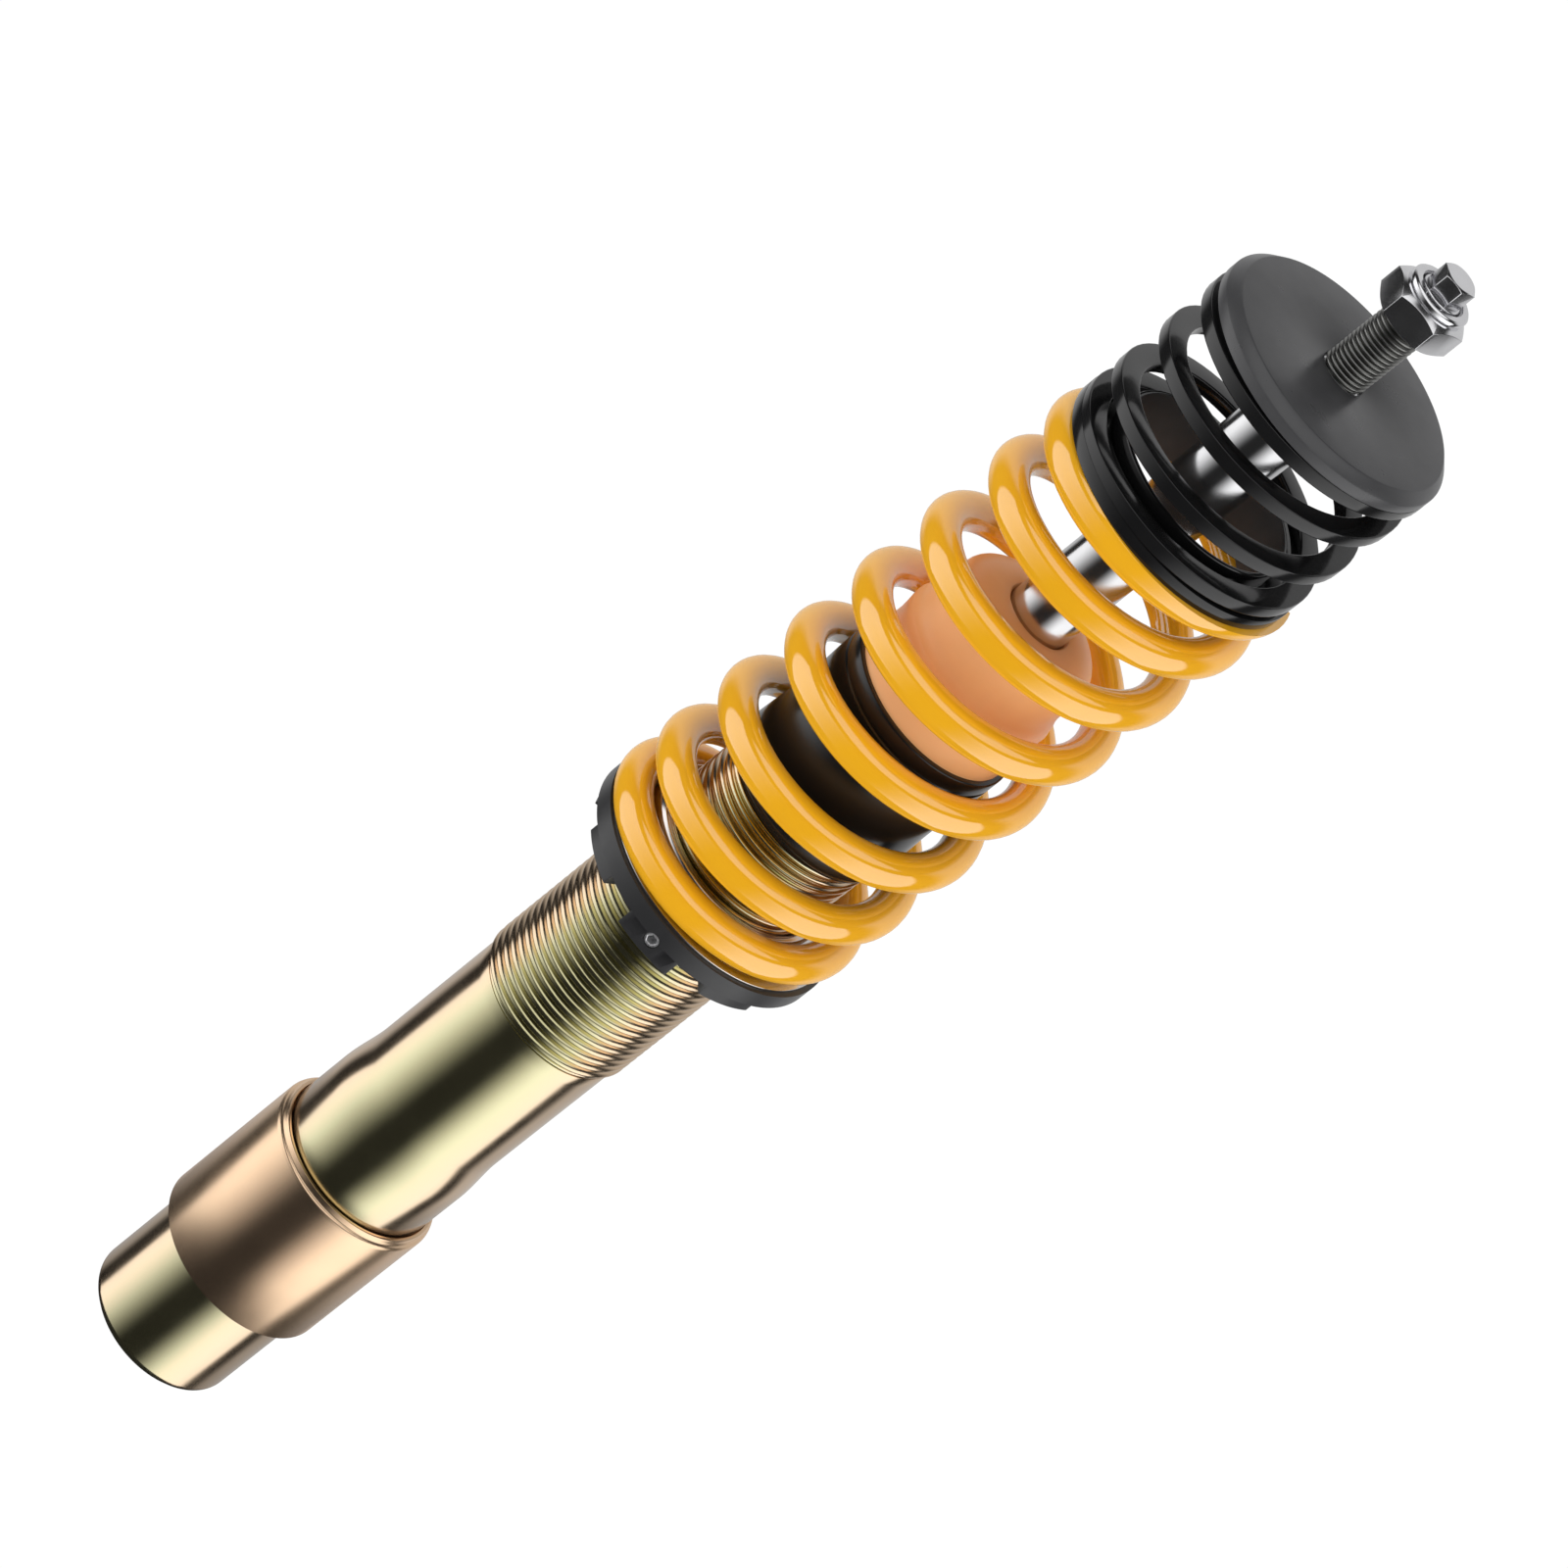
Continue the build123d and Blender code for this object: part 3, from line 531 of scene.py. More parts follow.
def zinc_plating():
    """Yellow-chromated zinc: a metal whose colour drifts from olive at the front to rose at the sides. This
    is a painted reflection tint set by which side faces the camera, with a little random mottle.
    """
    finish = Finish("zinc_plating", (0.66, 0.58, 0.38), 1.0, 0.2)
    split = finish.node("ShaderNodeSeparateXYZ")
    finish.link(finish.place.outputs["Object"], split.inputs["Vector"])
    side = finish.node("ShaderNodeMath", operation="ABSOLUTE")
    finish.link(split.outputs["X"], side.inputs[0])
    # painted reflection: the colour shifts with distance to the side (|X|) to stand in for reflected hues,
    # plus a random mottle
    painted_reflection_drift = finish.node("ShaderNodeMath", operation="MULTIPLY_ADD")
    finish.link(side.outputs[0], painted_reflection_drift.inputs[0])
    painted_reflection_drift.inputs[1].default_value = 1 / TUBE_R
    finish.link(finish.spread(finish.noise(16, 2.0, (1, 1, 0.3)), -0.14, 0.14), painted_reflection_drift.inputs[2])
    olive, straw = (0.62, 0.58, 0.33), (0.68, 0.64, 0.40)
    rose, brown = (0.80, 0.62, 0.43), (0.70, 0.53, 0.37)
    stops = [(0.15, olive), (0.48, straw), (0.74, rose), (0.95, brown)]
    finish.color_from(finish.ramp(painted_reflection_drift.outputs[0], stops))
    finish.roughness_from(finish.spread(finish.noise(60, 4), 0.14, 0.19))
    return finish.material


def copper_plating():
    """Rose-copper plating with a soft, slightly uneven shine."""
    finish = Finish("copper_plating", (0.78, 0.54, 0.36), 1.0, 0.22)
    tint = finish.ramp(finish.noise(18, 3), [(0.35, (0.86, 0.60, 0.395)), (0.65, (0.90, 0.65, 0.43))])
    finish.color_from(tint)
    finish.roughness_from(finish.spread(finish.noise(60, 4), 0.22, 0.26))
    return finish.material


def yellow_powder_coat():
    """Thick glossy yellow coat."""
    finish = Finish(
        "yellow_powder_coat",
        (0.88, 0.41, 0.007),
        0.0,
        0.6,
        Coat_Weight=1.0,
        Coat_Roughness=0.03,
        Coat_IOR=2.15,
        Specular_IOR_Level=0.1,
    )
    tint = finish.ramp(finish.noise(30, 3), [(0.3, (0.84, 0.405, 0.006)), (0.7, (0.89, 0.435, 0.008))])
    finish.color_from(tint)
    finish.roughness_from(finish.spread(finish.noise(90, 3), 0.55, 0.65))
    return finish.material


def black_coat(name, shade, low, high, grain):
    """A satin black coat with a fine grain."""
    finish = Finish(name, (shade, shade, shade * 1.04), 0.0, (low + high) / 2)
    darker = (shade * 0.85, shade * 0.85, shade * 0.9)
    lighter = (shade * 1.15, shade * 1.15, shade * 1.2)
    finish.color_from(finish.ramp(finish.noise(45, 4), [(0.3, darker), (0.7, lighter)]))
    finish.roughness_from(finish.spread(finish.noise(120, 4), low, high))
    if grain:
        finish.bump(finish.noise(grain, 3), 0.05, 0.03 * MM)
    return finish.material


def orange_foam():
    """Closed-skin polyurethane foam, satin, with fine pores."""
    finish = Finish("orange_foam", (0.88, 0.47, 0.20), 0.0, 0.4, Subsurface_Weight=0.1)
    finish.shader.inputs["Subsurface Radius"].default_value = (0.004, 0.002, 0.001)
    tint = finish.ramp(finish.noise(70, 4), [(0.3, (0.87, 0.45, 0.19)), (0.7, (0.91, 0.49, 0.21))])
    finish.color_from(tint)
    finish.roughness_from(finish.spread(finish.noise(300, 3), 0.34, 0.42))
    finish.bump(finish.noise(1500, 3), 0.06, 0.04 * MM)
    return finish.material


def bright_metal(name, color, low, high, streaks=(1, 1, 1)):
    """A bare or chromed metal with faint working marks."""
    finish = Finish(name, color, 1.0, (low + high) / 2)
    dim = tuple(c * 0.92 for c in color)
    finish.color_from(finish.ramp(finish.noise(50, 3, streaks), [(0.35, dim), (0.65, color)]))
    finish.roughness_from(finish.spread(finish.noise(150, 4, streaks), low, high))
    finish.bump(finish.noise(700, 2, streaks), 0.04, 0.04 * MM)
    return finish.material


def black_rubber():
    finish = Finish("black_rubber", (0.02, 0.02, 0.02), 0.0, 0.6)
    finish.color_from(finish.ramp(finish.noise(90, 4), [(0.3, (0.015,) * 3), (0.7, (0.03,) * 3)]))
    finish.roughness_from(finish.spread(finish.noise(200, 4), 0.5, 0.7))
    finish.bump(finish.noise(900, 3), 0.1, 0.05 * MM)
    return finish.material


ZINC = zinc_plating()
COPPER = copper_plating()
YELLOW = yellow_powder_coat()
COLLAR_BLACK = black_coat("black_anodising", 0.020, 0.30, 0.38, 1200)
RING_BLACK = black_coat("black_ring_coat", 0.006, 0.1, 0.14, 0)
BORE_BLACK = black_coat("black_bore_coat", 0.03, 0.55, 0.65, 0)
HELPER_BLACK = black_coat("black_spring_coat", 0.006, 0.1, 0.14, 0)
PLATE_BLACK = black_coat("black_plate_coat", 0.045, 0.27, 0.33, 1600)
CUP_BLACK = black_coat("black_cup_coat", 0.007, 0.16, 0.22, 0)
STUD_DARK = bright_metal("phosphated_thread", (0.26, 0.26, 0.25), 0.26, 0.36, (1, 1, 4))
FOAM = orange_foam()
CHROME = bright_metal("hard_chrome", (0.68, 0.68, 0.69), 0.13, 0.17)
NUT_ZINC = bright_metal("bright_zinc", (0.84, 0.84, 0.86), 0.13, 0.19)
SCREW_ZINC = bright_metal("matt_zinc", (0.92, 0.92, 0.93), 0.38, 0.46)
STEEL = bright_metal("oiled_steel", (0.56, 0.55, 0.53), 0.25, 0.38, (1, 1, 5))
SEAT_STEEL = bright_metal("polished_steel", (0.78, 0.74, 0.70), 0.12, 0.2, (1, 1, 8))
SINTERED = bright_metal("sintered_iron", (0.30, 0.30, 0.31), 0.45, 0.6)
BRONZE = bright_metal("bearing_bronze", (0.62, 0.42, 0.20), 0.3, 0.42)
RUBBER = black_rubber()
DARK_PLASTIC = black_coat("dark_plastic", 0.03, 0.4, 0.55, 600)
GREY_NYLON = black_coat("grey_nylon", 0.55, 0.25, 0.35, 600)

CARRIED_OVER = {
    "base_cap": ZINC,
    "base_valve": SINTERED,
    "pressure_tube": STEEL,
    "rod_guide": SINTERED,
    "guide_bush": BRONZE,
    "rod_seal": RUBBER,
    "seal_o_ring": RUBBER,
    "gland_nut": STEEL,
    "wiper_seal": RUBBER,
    "piston": SINTERED,
    "piston_band": DARK_PLASTIC,
    "compression_shims": STEEL,
    "rebound_shims": STEEL,
    "piston_nut": STEEL,
    "rebound_stop": STEEL,
    "rebound_buffer": RUBBER,
    "lock_pad": BRONZE,
    "locking_insert": GREY_NYLON,
}


def paint(piece, *materials):
    piece.data.materials.clear()
    for material in materials:
        piece.data.materials.append(material)


def finish_carried_over():
    """Gives the hidden pieces that stay as they are their finish."""
    for name, material in CARRIED_OVER.items():
        paint(nodes[name], material)


def hand_over(piece, body, node, material):
    """Paints a finished piece, fixes it to its body and lets it stand for its node."""
    paint(piece, material)
    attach(piece, body)
    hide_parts(node)
    return piece


# ======================= the strut's pieces =======================


def build_strut_tube():
    """The plated tube: foot, shoulder, taper, plain length, thread and the end inside the cup."""
    low = TUBE_LOW.z
    counterbore = 1.2 * MM
    thread_fade = 0.5 * MM
    foot_round = 3.8 * MM
    outline = [(TUBE_BORE_R, low), (FOOT_R - 2.2 * MM, low)]
    outline += arc((FOOT_R - foot_round, low + foot_round), foot_round, -65, 0, 8)
    shoulder_low = SLEEVE_HIGH.z - SLEEVE_SEAT
    outline += [(FOOT_R, SLEEVE_LOW.z), (FOOT_R, shoulder_low), (SHOULDER_R, shoulder_low)]
    taper = 10
    for i in range(taper + 1):
        share = i / taper
        radius = SHOULDER_R + (TUBE_R - SHOULDER_R) * smoothstep(share)
        outline.append((radius, SHOULDER_TOP + (TAPER_TOP - SHOULDER_TOP) * share))
    socket_r = SPIGOT_R + 0.15 * MM
    outline += [
        (TUBE_R, THREAD_LOW - 4 * MM),
        (TUBE_R, THREAD_LOW),
        (socket_r, THREAD_LOW),
        (socket_r, THREAD_LOW - counterbore),
        (TUBE_BORE_R, THREAD_LOW - counterbore),
    ]
    tube = turned("strut_tube_body", outline, bevel=0.12 * MM)
    thread = helical_thread(
        "strut_thread",
        THREAD_LOW - counterbore,
        TUBE_HIGH.z,
        THREAD_PITCH,
        THREAD_R,
        THREAD_ROOT_R,
        THREAD_LOW - thread_fade,
        CUP_LOW.z + thread_fade,
        TUBE_BORE_R,
    )
    tube = join(tube, thread)
    return hand_over(tube, "strut", "strut_tube", ZINC)


def build_clamp_sleeve():
    """The sleeve, with its rounded upper end and the thin lip round the tube."""
    top = SLEEVE_HIGH.z
    lip_r = SHOULDER_R + 1.5 * MM
    bore = FOOT_R + 0.05 * MM
    upper_bore = SHOULDER_R + 0.02 * MM
    step = top - SLEEVE_SEAT
    round_r = SLEEVE_R - lip_r
    outline = [(bore, SLEEVE_LOW.z), (SLEEVE_R, SLEEVE_LOW.z)]
    outline += arc((lip_r, top - 3.2 * MM), round_r, 0, 70, 8)
    outline += [
        (lip_r + 0.1 * MM, top - 1.2 * MM),
        (lip_r, top),
        (SHOULDER_R + 0.35 * MM, top),
        (SHOULDER_R + 0.3 * MM, top - 1.5 * MM),
        (upper_bore, top - 1.6 * MM),
        (upper_bore, step),
        (bore, step),
    ]
    sleeve = turned("clamp_sleeve_body", outline, bevel=0.15 * MM)
    return hand_over(sleeve, "strut", "clamp_sleeve", COPPER)


def build_cup():
    """The bump stop cup: a waisted shell with a rounded lip and a floor that the foam stands on."""
    low, top = CUP_LOW.z, CUP_HIGH.z
    inner = CUP_R - CUP_WALL
    floor = top - CUP_DEPTH
    tube_end = TUBE_HIGH.z + 0.02 * MM
    corner = 3 * MM
    lip = 0.8 * MM
    waist_depth = 0.75 * MM
    waist_steps = 14
    groove_r = CUP_R - CUP_GROOVE_DEPTH
    outline = [(CUP_BORE_R, low), (CUP_R - 1.2 * MM, low)]
    outline += arc((CUP_R - corner, low + corner), corner, -50, 0, 6)
    for i in range(1, waist_steps + 1):
        share = i / waist_steps
        dip = waist_depth * math.sin(math.pi * share) ** 2
        outline.append((CUP_R - dip, low + corner + (top - low - 10 * MM) * share))
    outline += [(CUP_R, top - 6.2 * MM), (groove_r, top - 5.8 * MM)]
    outline += [(groove_r, top - 5.2 * MM), (CUP_R, top - 4.8 * MM)]
    outline += arc((CUP_R - lip, top - lip), lip, 0, 90, 4)
    outline += [(inner, top), (inner, floor), (CUP_HOLE_R, floor)]
    outline += [(CUP_HOLE_R, tube_end), (CUP_BORE_R, tube_end)]
    cup = turned("bump_stop_cup_body", outline, bevel=0)
    return hand_over(cup, "strut", "bump_stop_cup", CUP_BLACK)


def build_bump_stop():
    """The foam bump stop: a ribbed base, a waist and a domed end round the rod."""
    bore = ROD_R + 0.12 * MM
    base = STOP_HIGH.x
    foot = STOP_LOW.z
    top = STOP_HIGH.z
    rim = CUP_HIGH.z
    # how far the skin lies inside the base's radius, at heights above the cup's rim, both in millimetres
    skin = [(0.25, 2), (0.75, 6), (0.85, 10), (0.5, 13.5), (0.15, 16), (0.05, 17.6), (0.5, 18.6)]
    skin += [(0.7, 19.2), (0.65, 20), (1.3, 21.4), (1.9, 24), (2.1, 28), (2.2, 32)]
    outline = [(bore, foot), (base, foot), (base, rim)]
    outline += [(base - inset * MM, rim + rise * MM) for inset, rise in skin]
    mouth = 1.6 * MM
    dome_h = 7 * MM
    dome_w = base - 2.25 * MM - bore - mouth
    dome = arc((0, 0), 1, 0, 90, 12)
    outline += [(bore + mouth + x * dome_w, top + (y - 1) * dome_h) for x, y in dome]
    outline += [(bore + 0.7 * MM, top - 0.2 * MM), (bore + 0.1 * MM, top - 0.9 * MM)]
    stop = turned("bump_stop_body", outline, bevel=0)
    return hand_over(stop, "strut", "bump_stop", FOAM)


def build_collar():
    """The adjuster collar: flange, notched hub, the wide land and the set screw's hole."""
    low, top = COLLAR_LOW.z, COLLAR_HIGH.z
    flange = low + COLLAR_FLANGE_RISE
    below = low - 1 * MM
    chamfer = 1 * MM
    outline = [
        (COLLAR_BORE_R, low + chamfer),
        (COLLAR_BORE_R + chamfer, low),
        (COLLAR_HUB_R, low),
        (COLLAR_HUB_R, flange),
        (COLLAR_R, flange),
        (COLLAR_R, top),
        (COLLAR_BORE_R, top),
    ]
    collar = turned("adjuster_collar_body", outline, bevel=0)
    hair = 0.001 * MM  # keeps the land's faces off the collar's
    land_in = COLLAR_HUB_R - 5 * MM
    land_outline = [
        (land_in, low + hair),
        (COLLAR_R - hair, low + hair),
        (COLLAR_R - hair, flange + 2 * MM),
        (land_in, flange + 2 * MM),
    ]
    land = turned("land", land_outline, bevel=0)
    cut(land, wedge("land_wedge", LAND_AZIMUTH, NOTCH_PITCH - NOTCH_ANGLE, below, top), "INTERSECT")
    cut(collar, land, "UNION")
    for i in range(NOTCH_COUNT):
        azimuth = LAND_AZIMUTH + (i + 0.5) * NOTCH_PITCH
        cut(collar, wedge("notch_wedge", azimuth, NOTCH_ANGLE, below, low + NOTCH_DEPTH))
    cut(collar, radial_bar("screw_hole", SCREW_R + 0.1 * MM, COLLAR_BORE_R - 0.3 * MM, 45 * MM, 40))
    bevel_edges(collar, 0.3 * MM, 2, 30)
    settle(collar)
    return hand_over(collar, "collar", "adjuster_collar", COLLAR_BLACK)


def wedge(name, azimuth, angle, low, high):
    """A wedge from the axis out past the collar, as wide as an angle about one direction."""
    reach = 60 * MM
    start_clean()
    bpy.ops.mesh.primitive_cube_add(size=1, location=(0.5, 0, 0.5))
    piece = bpy.context.object
    piece.name = name
    settle(piece, smooth=False)
    spread = 2 * math.tan(math.radians(angle / 2))
    select_vertices(piece, lambda co: co.x < 0.5)
    bpy.ops.transform.resize(value=(1, 0.001, 1), center_override=(0, 0, 0))
    bpy.ops.object.mode_set(mode="OBJECT")
    piece.scale = (reach, reach * spread, high - low)
    piece.location = (0, 0, low)
    piece.rotation_euler = (0, 0, math.radians(azimuth))
    return settle(piece, smooth=False)


def radial_bar(name, radius, start, end, sides):
    """A round or many-sided bar that points out along the land's direction."""
    start_clean()
    bpy.ops.mesh.primitive_cylinder_add(vertices=sides, radius=radius, depth=end - start)
    piece = bpy.context.object
    piece.name = name
    turn = Matrix.Rotation(math.radians(LAND_AZIMUTH), 4, "Z")
    place = Matrix.Translation(((start + end) / 2, 0, SCREW_Z))
    piece.matrix_world = turn @ place @ Matrix.Rotation(math.radians(90), 4, "Y")
    return settle(piece, smooth=False)


def build_set_screw():
    """The socket set screw in the land."""
    foot = SCREW_FACE_R - SCREW_LENGTH
    screw = radial_bar("set_screw_body", SCREW_R, foot, SCREW_FACE_R, 40)
    socket_foot = SCREW_FACE_R - SOCKET_DEPTH
    cut(screw, radial_bar("socket", SOCKET_AF / math.sqrt(3), socket_foot, SCREW_FACE_R + 1 * MM, 6))
    bevel_edges(screw, 0.4 * MM, 4, 30)
    settle(screw)
    return hand_over(screw, "collar", "set_screw", SCREW_ZINC)


def build_seat_ring():
    """The bright ring under the spring, with the pilot inside its lower coil."""
    low, top = SEAT_LOW.z, SEAT_HIGH.z
    disc_top = low + SEAT_DISC_H
    lead_in, lead_h = 0.8 * MM, 1.2 * MM
    outline = [
        (COLLAR_BORE_R, low),
        (SEAT_DISC_R, low),
        (SEAT_DISC_R, disc_top),
        (PILOT_R, disc_top),
        (PILOT_R, top - lead_h),
        (PILOT_R - lead_in, top),
        (COLLAR_BORE_R + lead_in, top),
        (COLLAR_BORE_R, top - lead_h),
    ]
    ring = turned("spring_seat_ring_body", outline, bevel=0.2 * MM)
    return hand_over(ring, "seat", "spring_seat_ring", SEAT_STEEL)


def build_main_spring():
    """The yellow spring, ground flat at both ends. The real spring shortens with the damper's stroke; here
    it is built at one length only.
    """
    heights = coil_heights(MAIN_TURNS, 26.8 * MM, 10 * MM, 2.0, 15 * MM, 1.85)
    start_z = MAIN_LOW.z - MAIN_DROP
    spring = wound("main_spring_coil", COIL_R, start_z, MAIN_AZIMUTH, MAIN_TURNS, heights, wire_r=WIRE_R)
    ground_ends(spring, MAIN_LOW.z, MAIN_HIGH.z)
    hand_over(spring, "seat", "main_spring", YELLOW)
    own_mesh(spring)
    return spring


def build_helper_spring():
    """The black helper spring of flat wire. The real one closes almost solid at full stroke; here it is
    built at one length only.
    """
    heights = coil_heights(HELPER_TURNS, 17.5 * MM, 1.8 * MM, 1.5, 1.8 * MM, 1.5)
    start_z = HELPER_LOW.z - HELPER_DROP + BAND_H / 2
    section = flat_section(BAND_W, BAND_H, 0.5 * MM)
    spring = wound(
        "helper_spring_coil", BAND_R, start_z, HELPER_AZIMUTH, HELPER_TURNS, heights, section=section
    )
    press_between(spring, HELPER_LOW.z, HELPER_HIGH.z)
    hand_over(spring, "ring", "helper_spring", HELPER_BLACK)
    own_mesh(spring)
    return spring


def build_coupling_ring():
    """The black ring between the springs: a thin flange on a sleeve that centres both."""
    low, top = RING_LOW.z, RING_HIGH.z
    outer = RING_HIGH.x
    outline = [
        (RING_BORE_R, low),
        (PILOT_R, low),
        (PILOT_R, MAIN_HIGH.z),
        (outer, MAIN_HIGH.z),
        (outer, HELPER_LOW.z),
        (PILOT_R, HELPER_LOW.z),
        (PILOT_R, top - 0.3 * MM),
        (PILOT_R - 0.4 * MM, top),
        (RING_BORE_R, top),
    ]
    ring = turned("coupling_ring_body", outline, bevel=0.3 * MM)
    hand_over(ring, "ring", "coupling_ring", RING_BLACK)
    ring.data.materials.append(BORE_BLACK)
    for face in ring.data.polygons:
        in_bore = math.hypot(face.center.x, face.center.y) < RING_BORE_R + 0.05 * MM
        face.material_index = int(in_bore)
    return ring


def build_plate():
    """The upper spring plate, with its wide chamfer."""
    low, top = PLATE_LOW.z, PLATE_HIGH.z
    outer = PLATE_HIGH.x
    bore = STUD_R + 0.05 * MM
    outline = [(bore, low), (outer, low), (outer, top - PLATE_CHAMFER)]
    outline += [(outer - PLATE_CHAMFER, top), (bore, top)]
    plate = turned("upper_spring_plate_body", outline, bevel=0.3 * MM)
    hand_over(plate, "top_plate", "upper_spring_plate", PLATE_BLACK)
    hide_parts("upper_spring_plate", "plate_bush")
    return plate


def build_rod():
    """The chromed rod, its dark threaded stud and the hexagon on its end, as one piece of three finishes."""
    plate_top = PLATE_HIGH.z
    stud_top = plate_top + STUD_H
    shoulder = PLATE_LOW.z
    foot = ROD_LOW.z
    foot_chamfer = 1 * MM
    core_r = STUD_R - 0.02 * MM
    thread_low = plate_top - THREAD_START
    fade = 0.1 * MM
    outline = [
        (0, foot),
        (SPIGOT_ROD_R - foot_chamfer, foot),
        (SPIGOT_ROD_R, foot + foot_chamfer),
        (SPIGOT_ROD_R, ROD_FOOT),
        (ROD_R, ROD_FOOT),
        (ROD_R, shoulder),
        (core_r, shoulder),
        (core_r, thread_low),
        (0, thread_low),
    ]
    rod = turned("piston_rod_body", outline, bevel=0.15 * MM, closed=False)
    paint(rod, CHROME)
    thread = helical_thread(
        "stud_thread",
        thread_low,
        stud_top,
        STUD_PITCH,
        STUD_R,
        STUD_ROOT_R,
        thread_low + fade,
        stud_top - fade,
        STUD_CORE_R,
    )
    paint(thread, STUD_DARK)
    inside = 1 * MM  # how far the end's pieces reach into the stud
    drive_hex = hexagon("drive_hex", HEX_AF, stud_top - inside, ROD_HIGH.z, FRONT)
    corner = HEX_AF / math.sqrt(3)
    flat = HEX_AF / 2
    cone = [(0, stud_top - 2 * MM), (corner + 1 * MM, stud_top - 2 * MM)]
    cone += [(corner + 1 * MM, ROD_HIGH.z - 1.1 * MM), (flat - 0.3 * MM, ROD_HIGH.z), (0, ROD_HIGH.z)]
    cut(drive_hex, turned("hex_cone", cone, bevel=0, closed=False), "INTERSECT")
    bevel_edges(drive_hex, 0.25 * MM, 2, 24)
    settle(drive_hex)
    paint(drive_hex, NUT_ZINC)
    rim = STUD_ROOT_R + 0.3 * MM
    end_face = [(0, stud_top - inside), (rim, stud_top - inside)]
    end_face += [(rim, stud_top - 0.1 * MM), (STUD_ROOT_R, stud_top + 0.2 * MM)]
    end_face += [(corner, stud_top + 0.2 * MM), (0, stud_top + 0.3 * MM)]
    stud_end = turned("stud_end", end_face, bevel=0.1 * MM, closed=False)
    paint(stud_end, NUT_ZINC)
    rod = join(rod, thread, drive_hex, stud_end)
    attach(rod, "rod")
    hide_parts("piston_rod")
    return rod


def build_top_nut():
    """The nut: a chamfered hexagon and the round collar round its locking insert."""
    low = NUT_LOW.z
    hex_top = low + NUT_HEX_H
    top = NUT_HIGH.z
    bore = STUD_R + 0.02 * MM
    corner = NUT_AF / math.sqrt(3) + 0.1 * MM
    flat = NUT_AF / 2
    nut = hexagon("top_nut_body", NUT_AF, low, hex_top, FRONT + 1)
    cone = [(0, low), (flat - 0.2 * MM, low), (corner, low + 1 * MM)]
    cone += [(corner, hex_top - 1.9 * MM), (flat - 1.0 * MM, hex_top), (0, hex_top)]
    cut(nut, turned("nut_cone", cone, bevel=0, closed=False), "INTERSECT")
    drill = [(0, low - 1 * MM), (bore, low - 1 * MM), (bore, top), (0, top)]
    cut(nut, turned("nut_bore", drill, bevel=0, closed=False))
    bevel_edges(nut, 0.45 * MM, 3, 24)
    settle(nut)
    rim = NUT_COLLAR_R
    neck = rim - 0.6 * MM
    pocket = rim - 1.3 * MM
    mouth = bore + 0.3 * MM
    lip = top - 0.6 * MM
    outline = [
        (bore, hex_top - 1 * MM),
        (neck, hex_top - 1 * MM),
        (neck, hex_top + 0.7 * MM),
        (rim, hex_top + 1.1 * MM),
        (rim, lip),
        (neck, top),
        (mouth, top),
        (mouth, lip),
        (pocket, lip),
        (pocket, hex_top + 0.2 * MM),
        (bore, hex_top + 0.2 * MM),
    ]
    collar = turned("nut_collar", outline, bevel=0.12 * MM)
    nut = join(nut, collar)
    return hand_over(nut, "rod", "top_nut", NUT_ZINC)


# ======================= camera, light and floor =======================

CAMERA_ELEVATION = 30.53  # degrees above the horizon
CAMERA_ROLL = 51.18  # the camera is turned about its own view line, so the strut leans to the right
CAMERA_DISTANCE = 1.9498
CAMERA_TARGET = (-0.0080, 0.0, 0.2802)
CAMERA_LENS = 163.72
FLOOR_SIZE = 60
SHADE = 0.02  # what reflects between the panels
FILL = 0.68  # even light on matt surfaces
FILL_SHARE = 0.75  # what the panels add to it
FRONT_HEIGHTS = (-51, -47, 29, 33)
BACK_HEIGHTS = (-48, -30, 34, 44)


def make_camera():
    camera = bpy.data.objects.new("camera", bpy.data.cameras.new("camera"))
    camera.data.lens = CAMERA_LENS
    camera.data.sensor_width = 36
    camera.data.clip_end = 50
    bpy.context.scene.collection.objects.link(camera)
    tilt = Matrix.Rotation(math.radians(90 - CAMERA_ELEVATION), 4, "X")
    roll = Matrix.Rotation(math.radians(CAMERA_ROLL), 4, "Z")
    back = Matrix.Translation((0, 0, CAMERA_DISTANCE))
    camera.matrix_world = Matrix.Translation(CAMERA_TARGET) @ tilt @ roll @ back
    bpy.context.scene.camera = camera


def make_floor():
    """A wide white floor. It's left out of reflections, as in a studio with a light table below."""
    start_clean()
    bpy.ops.mesh.primitive_plane_add(size=FLOOR_SIZE, location=(0, 0, cad_low.z))
    floor = bpy.context.object
    floor.name = "studio_floor"
    finish = Finish("floor_white", (0.02, 0.02, 0.02), 0.0, 1.0, Specular_IOR_Level=0.0)
    finish.shader.inputs["Emission Color"].default_value = (1, 1, 1, 1)
    finish.shader.inputs["Emission Strength"].default_value = 1.0
    finish.color_from(finish.ramp(finish.noise(3, 2), [(0.3, (0.02,) * 3), (0.7, (0.03,) * 3)]))
    paint(floor, finish.material)
    floor.visible_glossy = False
    floor.visible_shadow = False


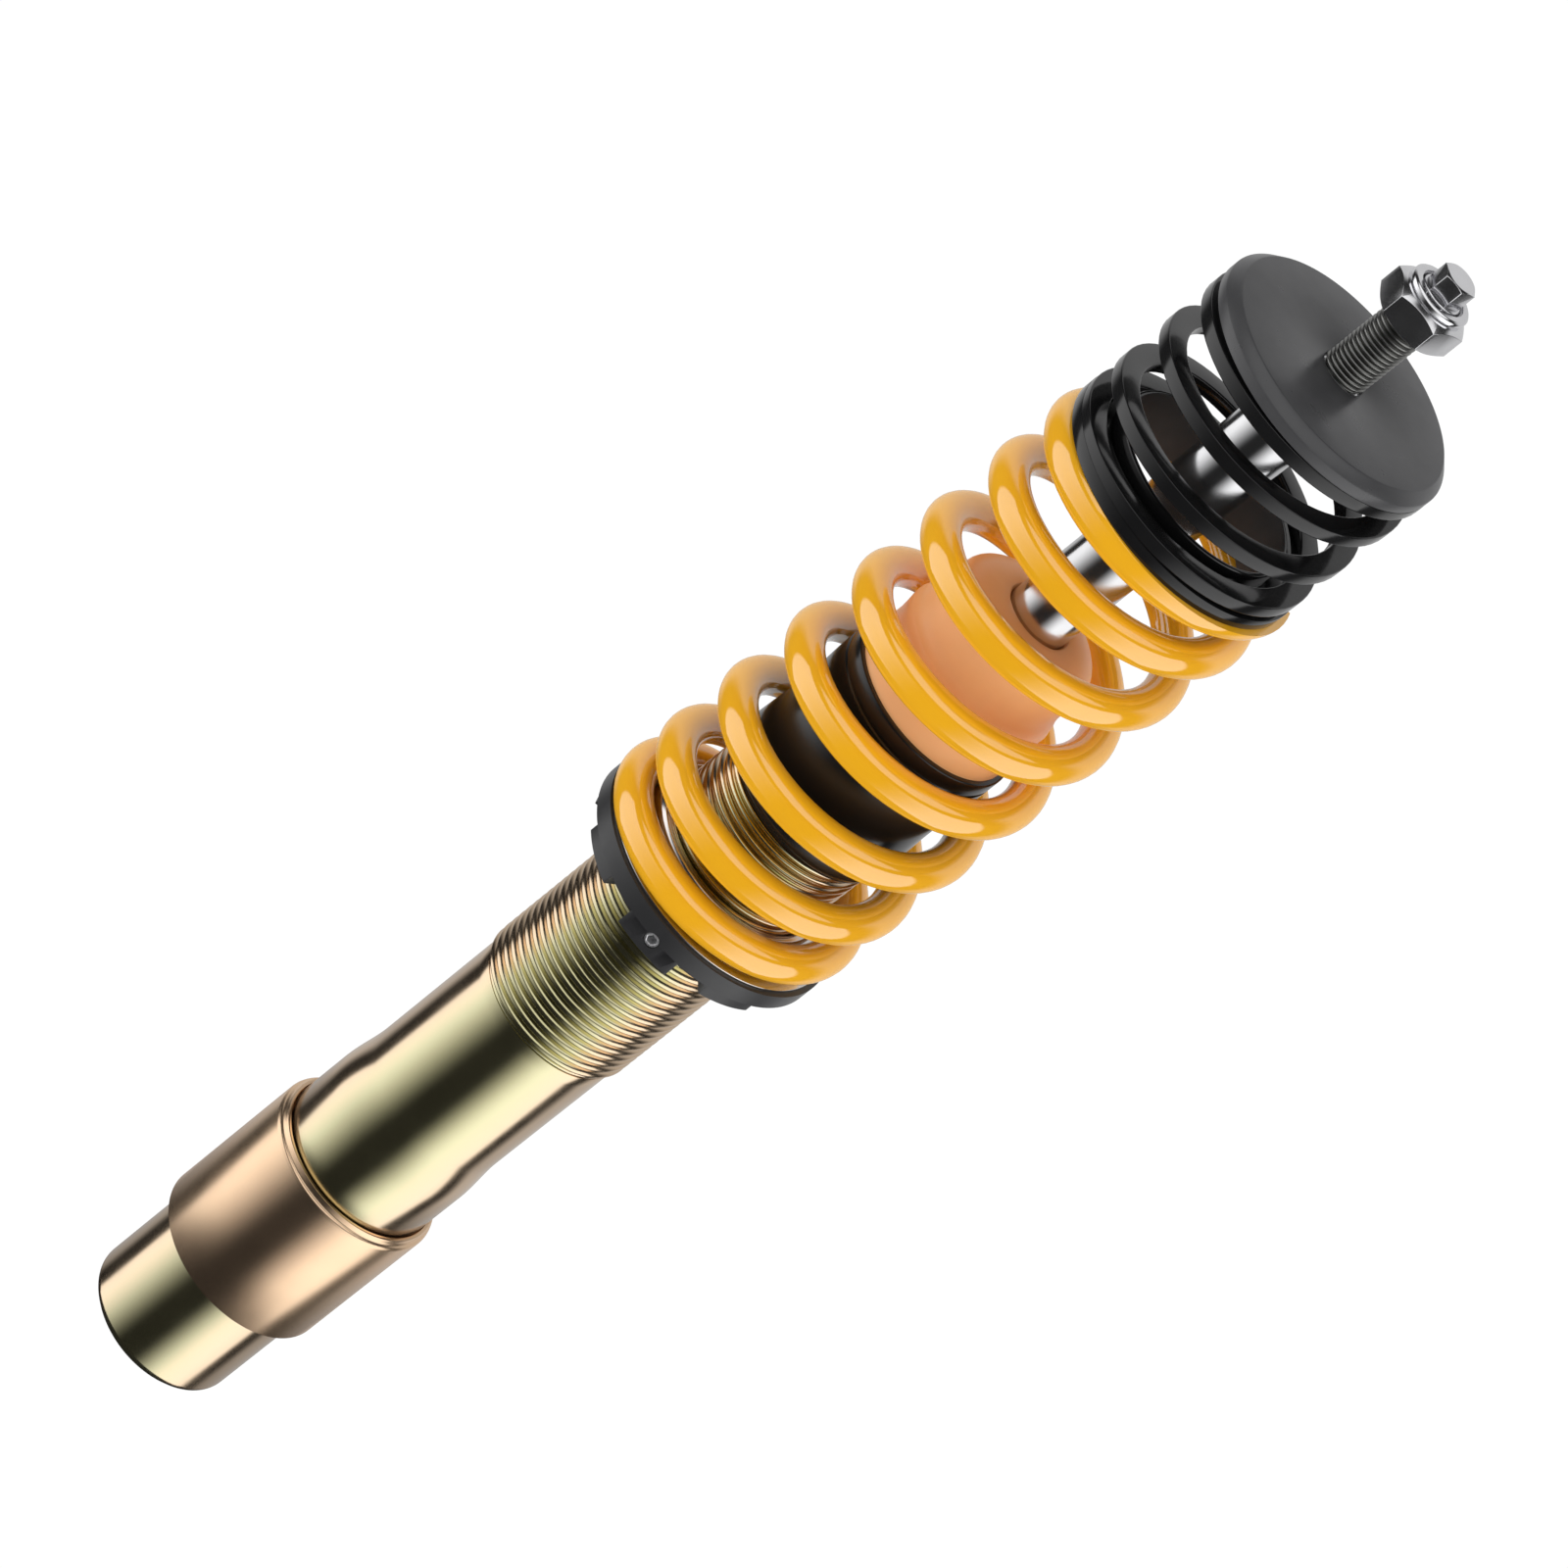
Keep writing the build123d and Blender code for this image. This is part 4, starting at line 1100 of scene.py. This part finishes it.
class Studio:
    """The world's light, as panels placed by azimuth from the front and by elevation, in degrees."""

    def __init__(self):
        world = bpy.data.worlds.new("studio")
        bpy.context.scene.world = world
        world.use_nodes = True
        self.tree = world.node_tree
        self.tree.nodes.clear()
        place = self.tree.nodes.new("ShaderNodeTexCoord")
        split = self.tree.nodes.new("ShaderNodeSeparateXYZ")
        self.tree.links.new(place.outputs["Generated"], split.inputs["Vector"])
        toward = self.math("MULTIPLY", split.outputs["Y"], -1.0)
        self.azimuth = self.math("ARCTAN2", split.outputs["X"], toward)
        self.elevation = self.math("ARCSINE", split.outputs["Z"])
        self.light = self.math("ADD", 0.0, SHADE)

    def math(self, operation, first, second=0.0):
        node = self.tree.nodes.new("ShaderNodeMath")
        node.operation = operation
        for socket, value in zip(node.inputs, (first, second)):
            if isinstance(value, (int, float)):
                socket.default_value = value
            else:
                self.tree.links.new(value, socket)
        return node.outputs[0]

    def slope(self, source, dark, bright):
        """Rises from 0 at one angle to 1 at another."""
        node = self.tree.nodes.new("ShaderNodeMapRange")
        node.interpolation_type = "SMOOTHSTEP"
        node.inputs["From Min"].default_value = math.radians(dark)
        node.inputs["From Max"].default_value = math.radians(bright)
        self.tree.links.new(source, node.inputs["Value"])
        return node.outputs["Result"]

    def panel(self, strength, azimuths, elevations):
        """azimuths and elevations are each dark, bright, bright, dark angles."""
        patch = self.math("MULTIPLY", self.slope(self.azimuth, *azimuths[:2]), strength)
        patch = self.math("MULTIPLY", patch, self.slope(self.azimuth, *azimuths[:1:-1]))
        patch = self.math("MULTIPLY", patch, self.slope(self.elevation, *elevations[:2]))
        patch = self.math("MULTIPLY", patch, self.slope(self.elevation, *elevations[:1:-1]))
        self.light = self.math("ADD", self.light, patch)

    def close(self):
        """Reflections see the panels. Everything else gets an even light with a share of them."""
        paths = self.tree.nodes.new("ShaderNodeLightPath")
        fill = self.math("ADD", self.math("MULTIPLY", self.light, FILL_SHARE), FILL)
        mix = self.tree.nodes.new("ShaderNodeMix")
        self.tree.links.new(paths.outputs["Is Glossy Ray"], mix.inputs["Factor"])
        self.tree.links.new(fill, mix.inputs["A"])
        self.tree.links.new(self.light, mix.inputs["B"])
        shine = self.tree.nodes.new("ShaderNodeBackground")
        out = self.tree.nodes.new("ShaderNodeOutputWorld")
        self.tree.links.new(mix.outputs["Result"], shine.inputs["Color"])
        self.tree.links.new(shine.outputs["Background"], out.inputs["Surface"])


def make_studio():
    studio = Studio()
    studio.panel(1.35, (-103, -98, -86, -12), FRONT_HEIGHTS)
    studio.panel(1.45, (14, 66, 98, 103), FRONT_HEIGHTS)
    studio.panel(1.0, (-103, -94, 94, 103), (43, 49, 70, 80))
    studio.panel(0.6, (112, 130, 190, 200), BACK_HEIGHTS)
    studio.panel(0.6, (-200, -190, -142, -120), BACK_HEIGHTS)
    studio.close()
    scene = bpy.context.scene
    scene.view_settings.view_transform = "Standard"
    scene.view_settings.look = "None"


make_camera()
finish_carried_over()
for build in (
    build_strut_tube,
    build_clamp_sleeve,
    build_cup,
    build_bump_stop,
    build_collar,
    build_set_screw,
    build_seat_ring,
    build_main_spring,
    build_coupling_ring,
    build_helper_spring,
    build_plate,
    build_rod,
    build_top_nut,
):
    build()
make_floor()
make_studio()
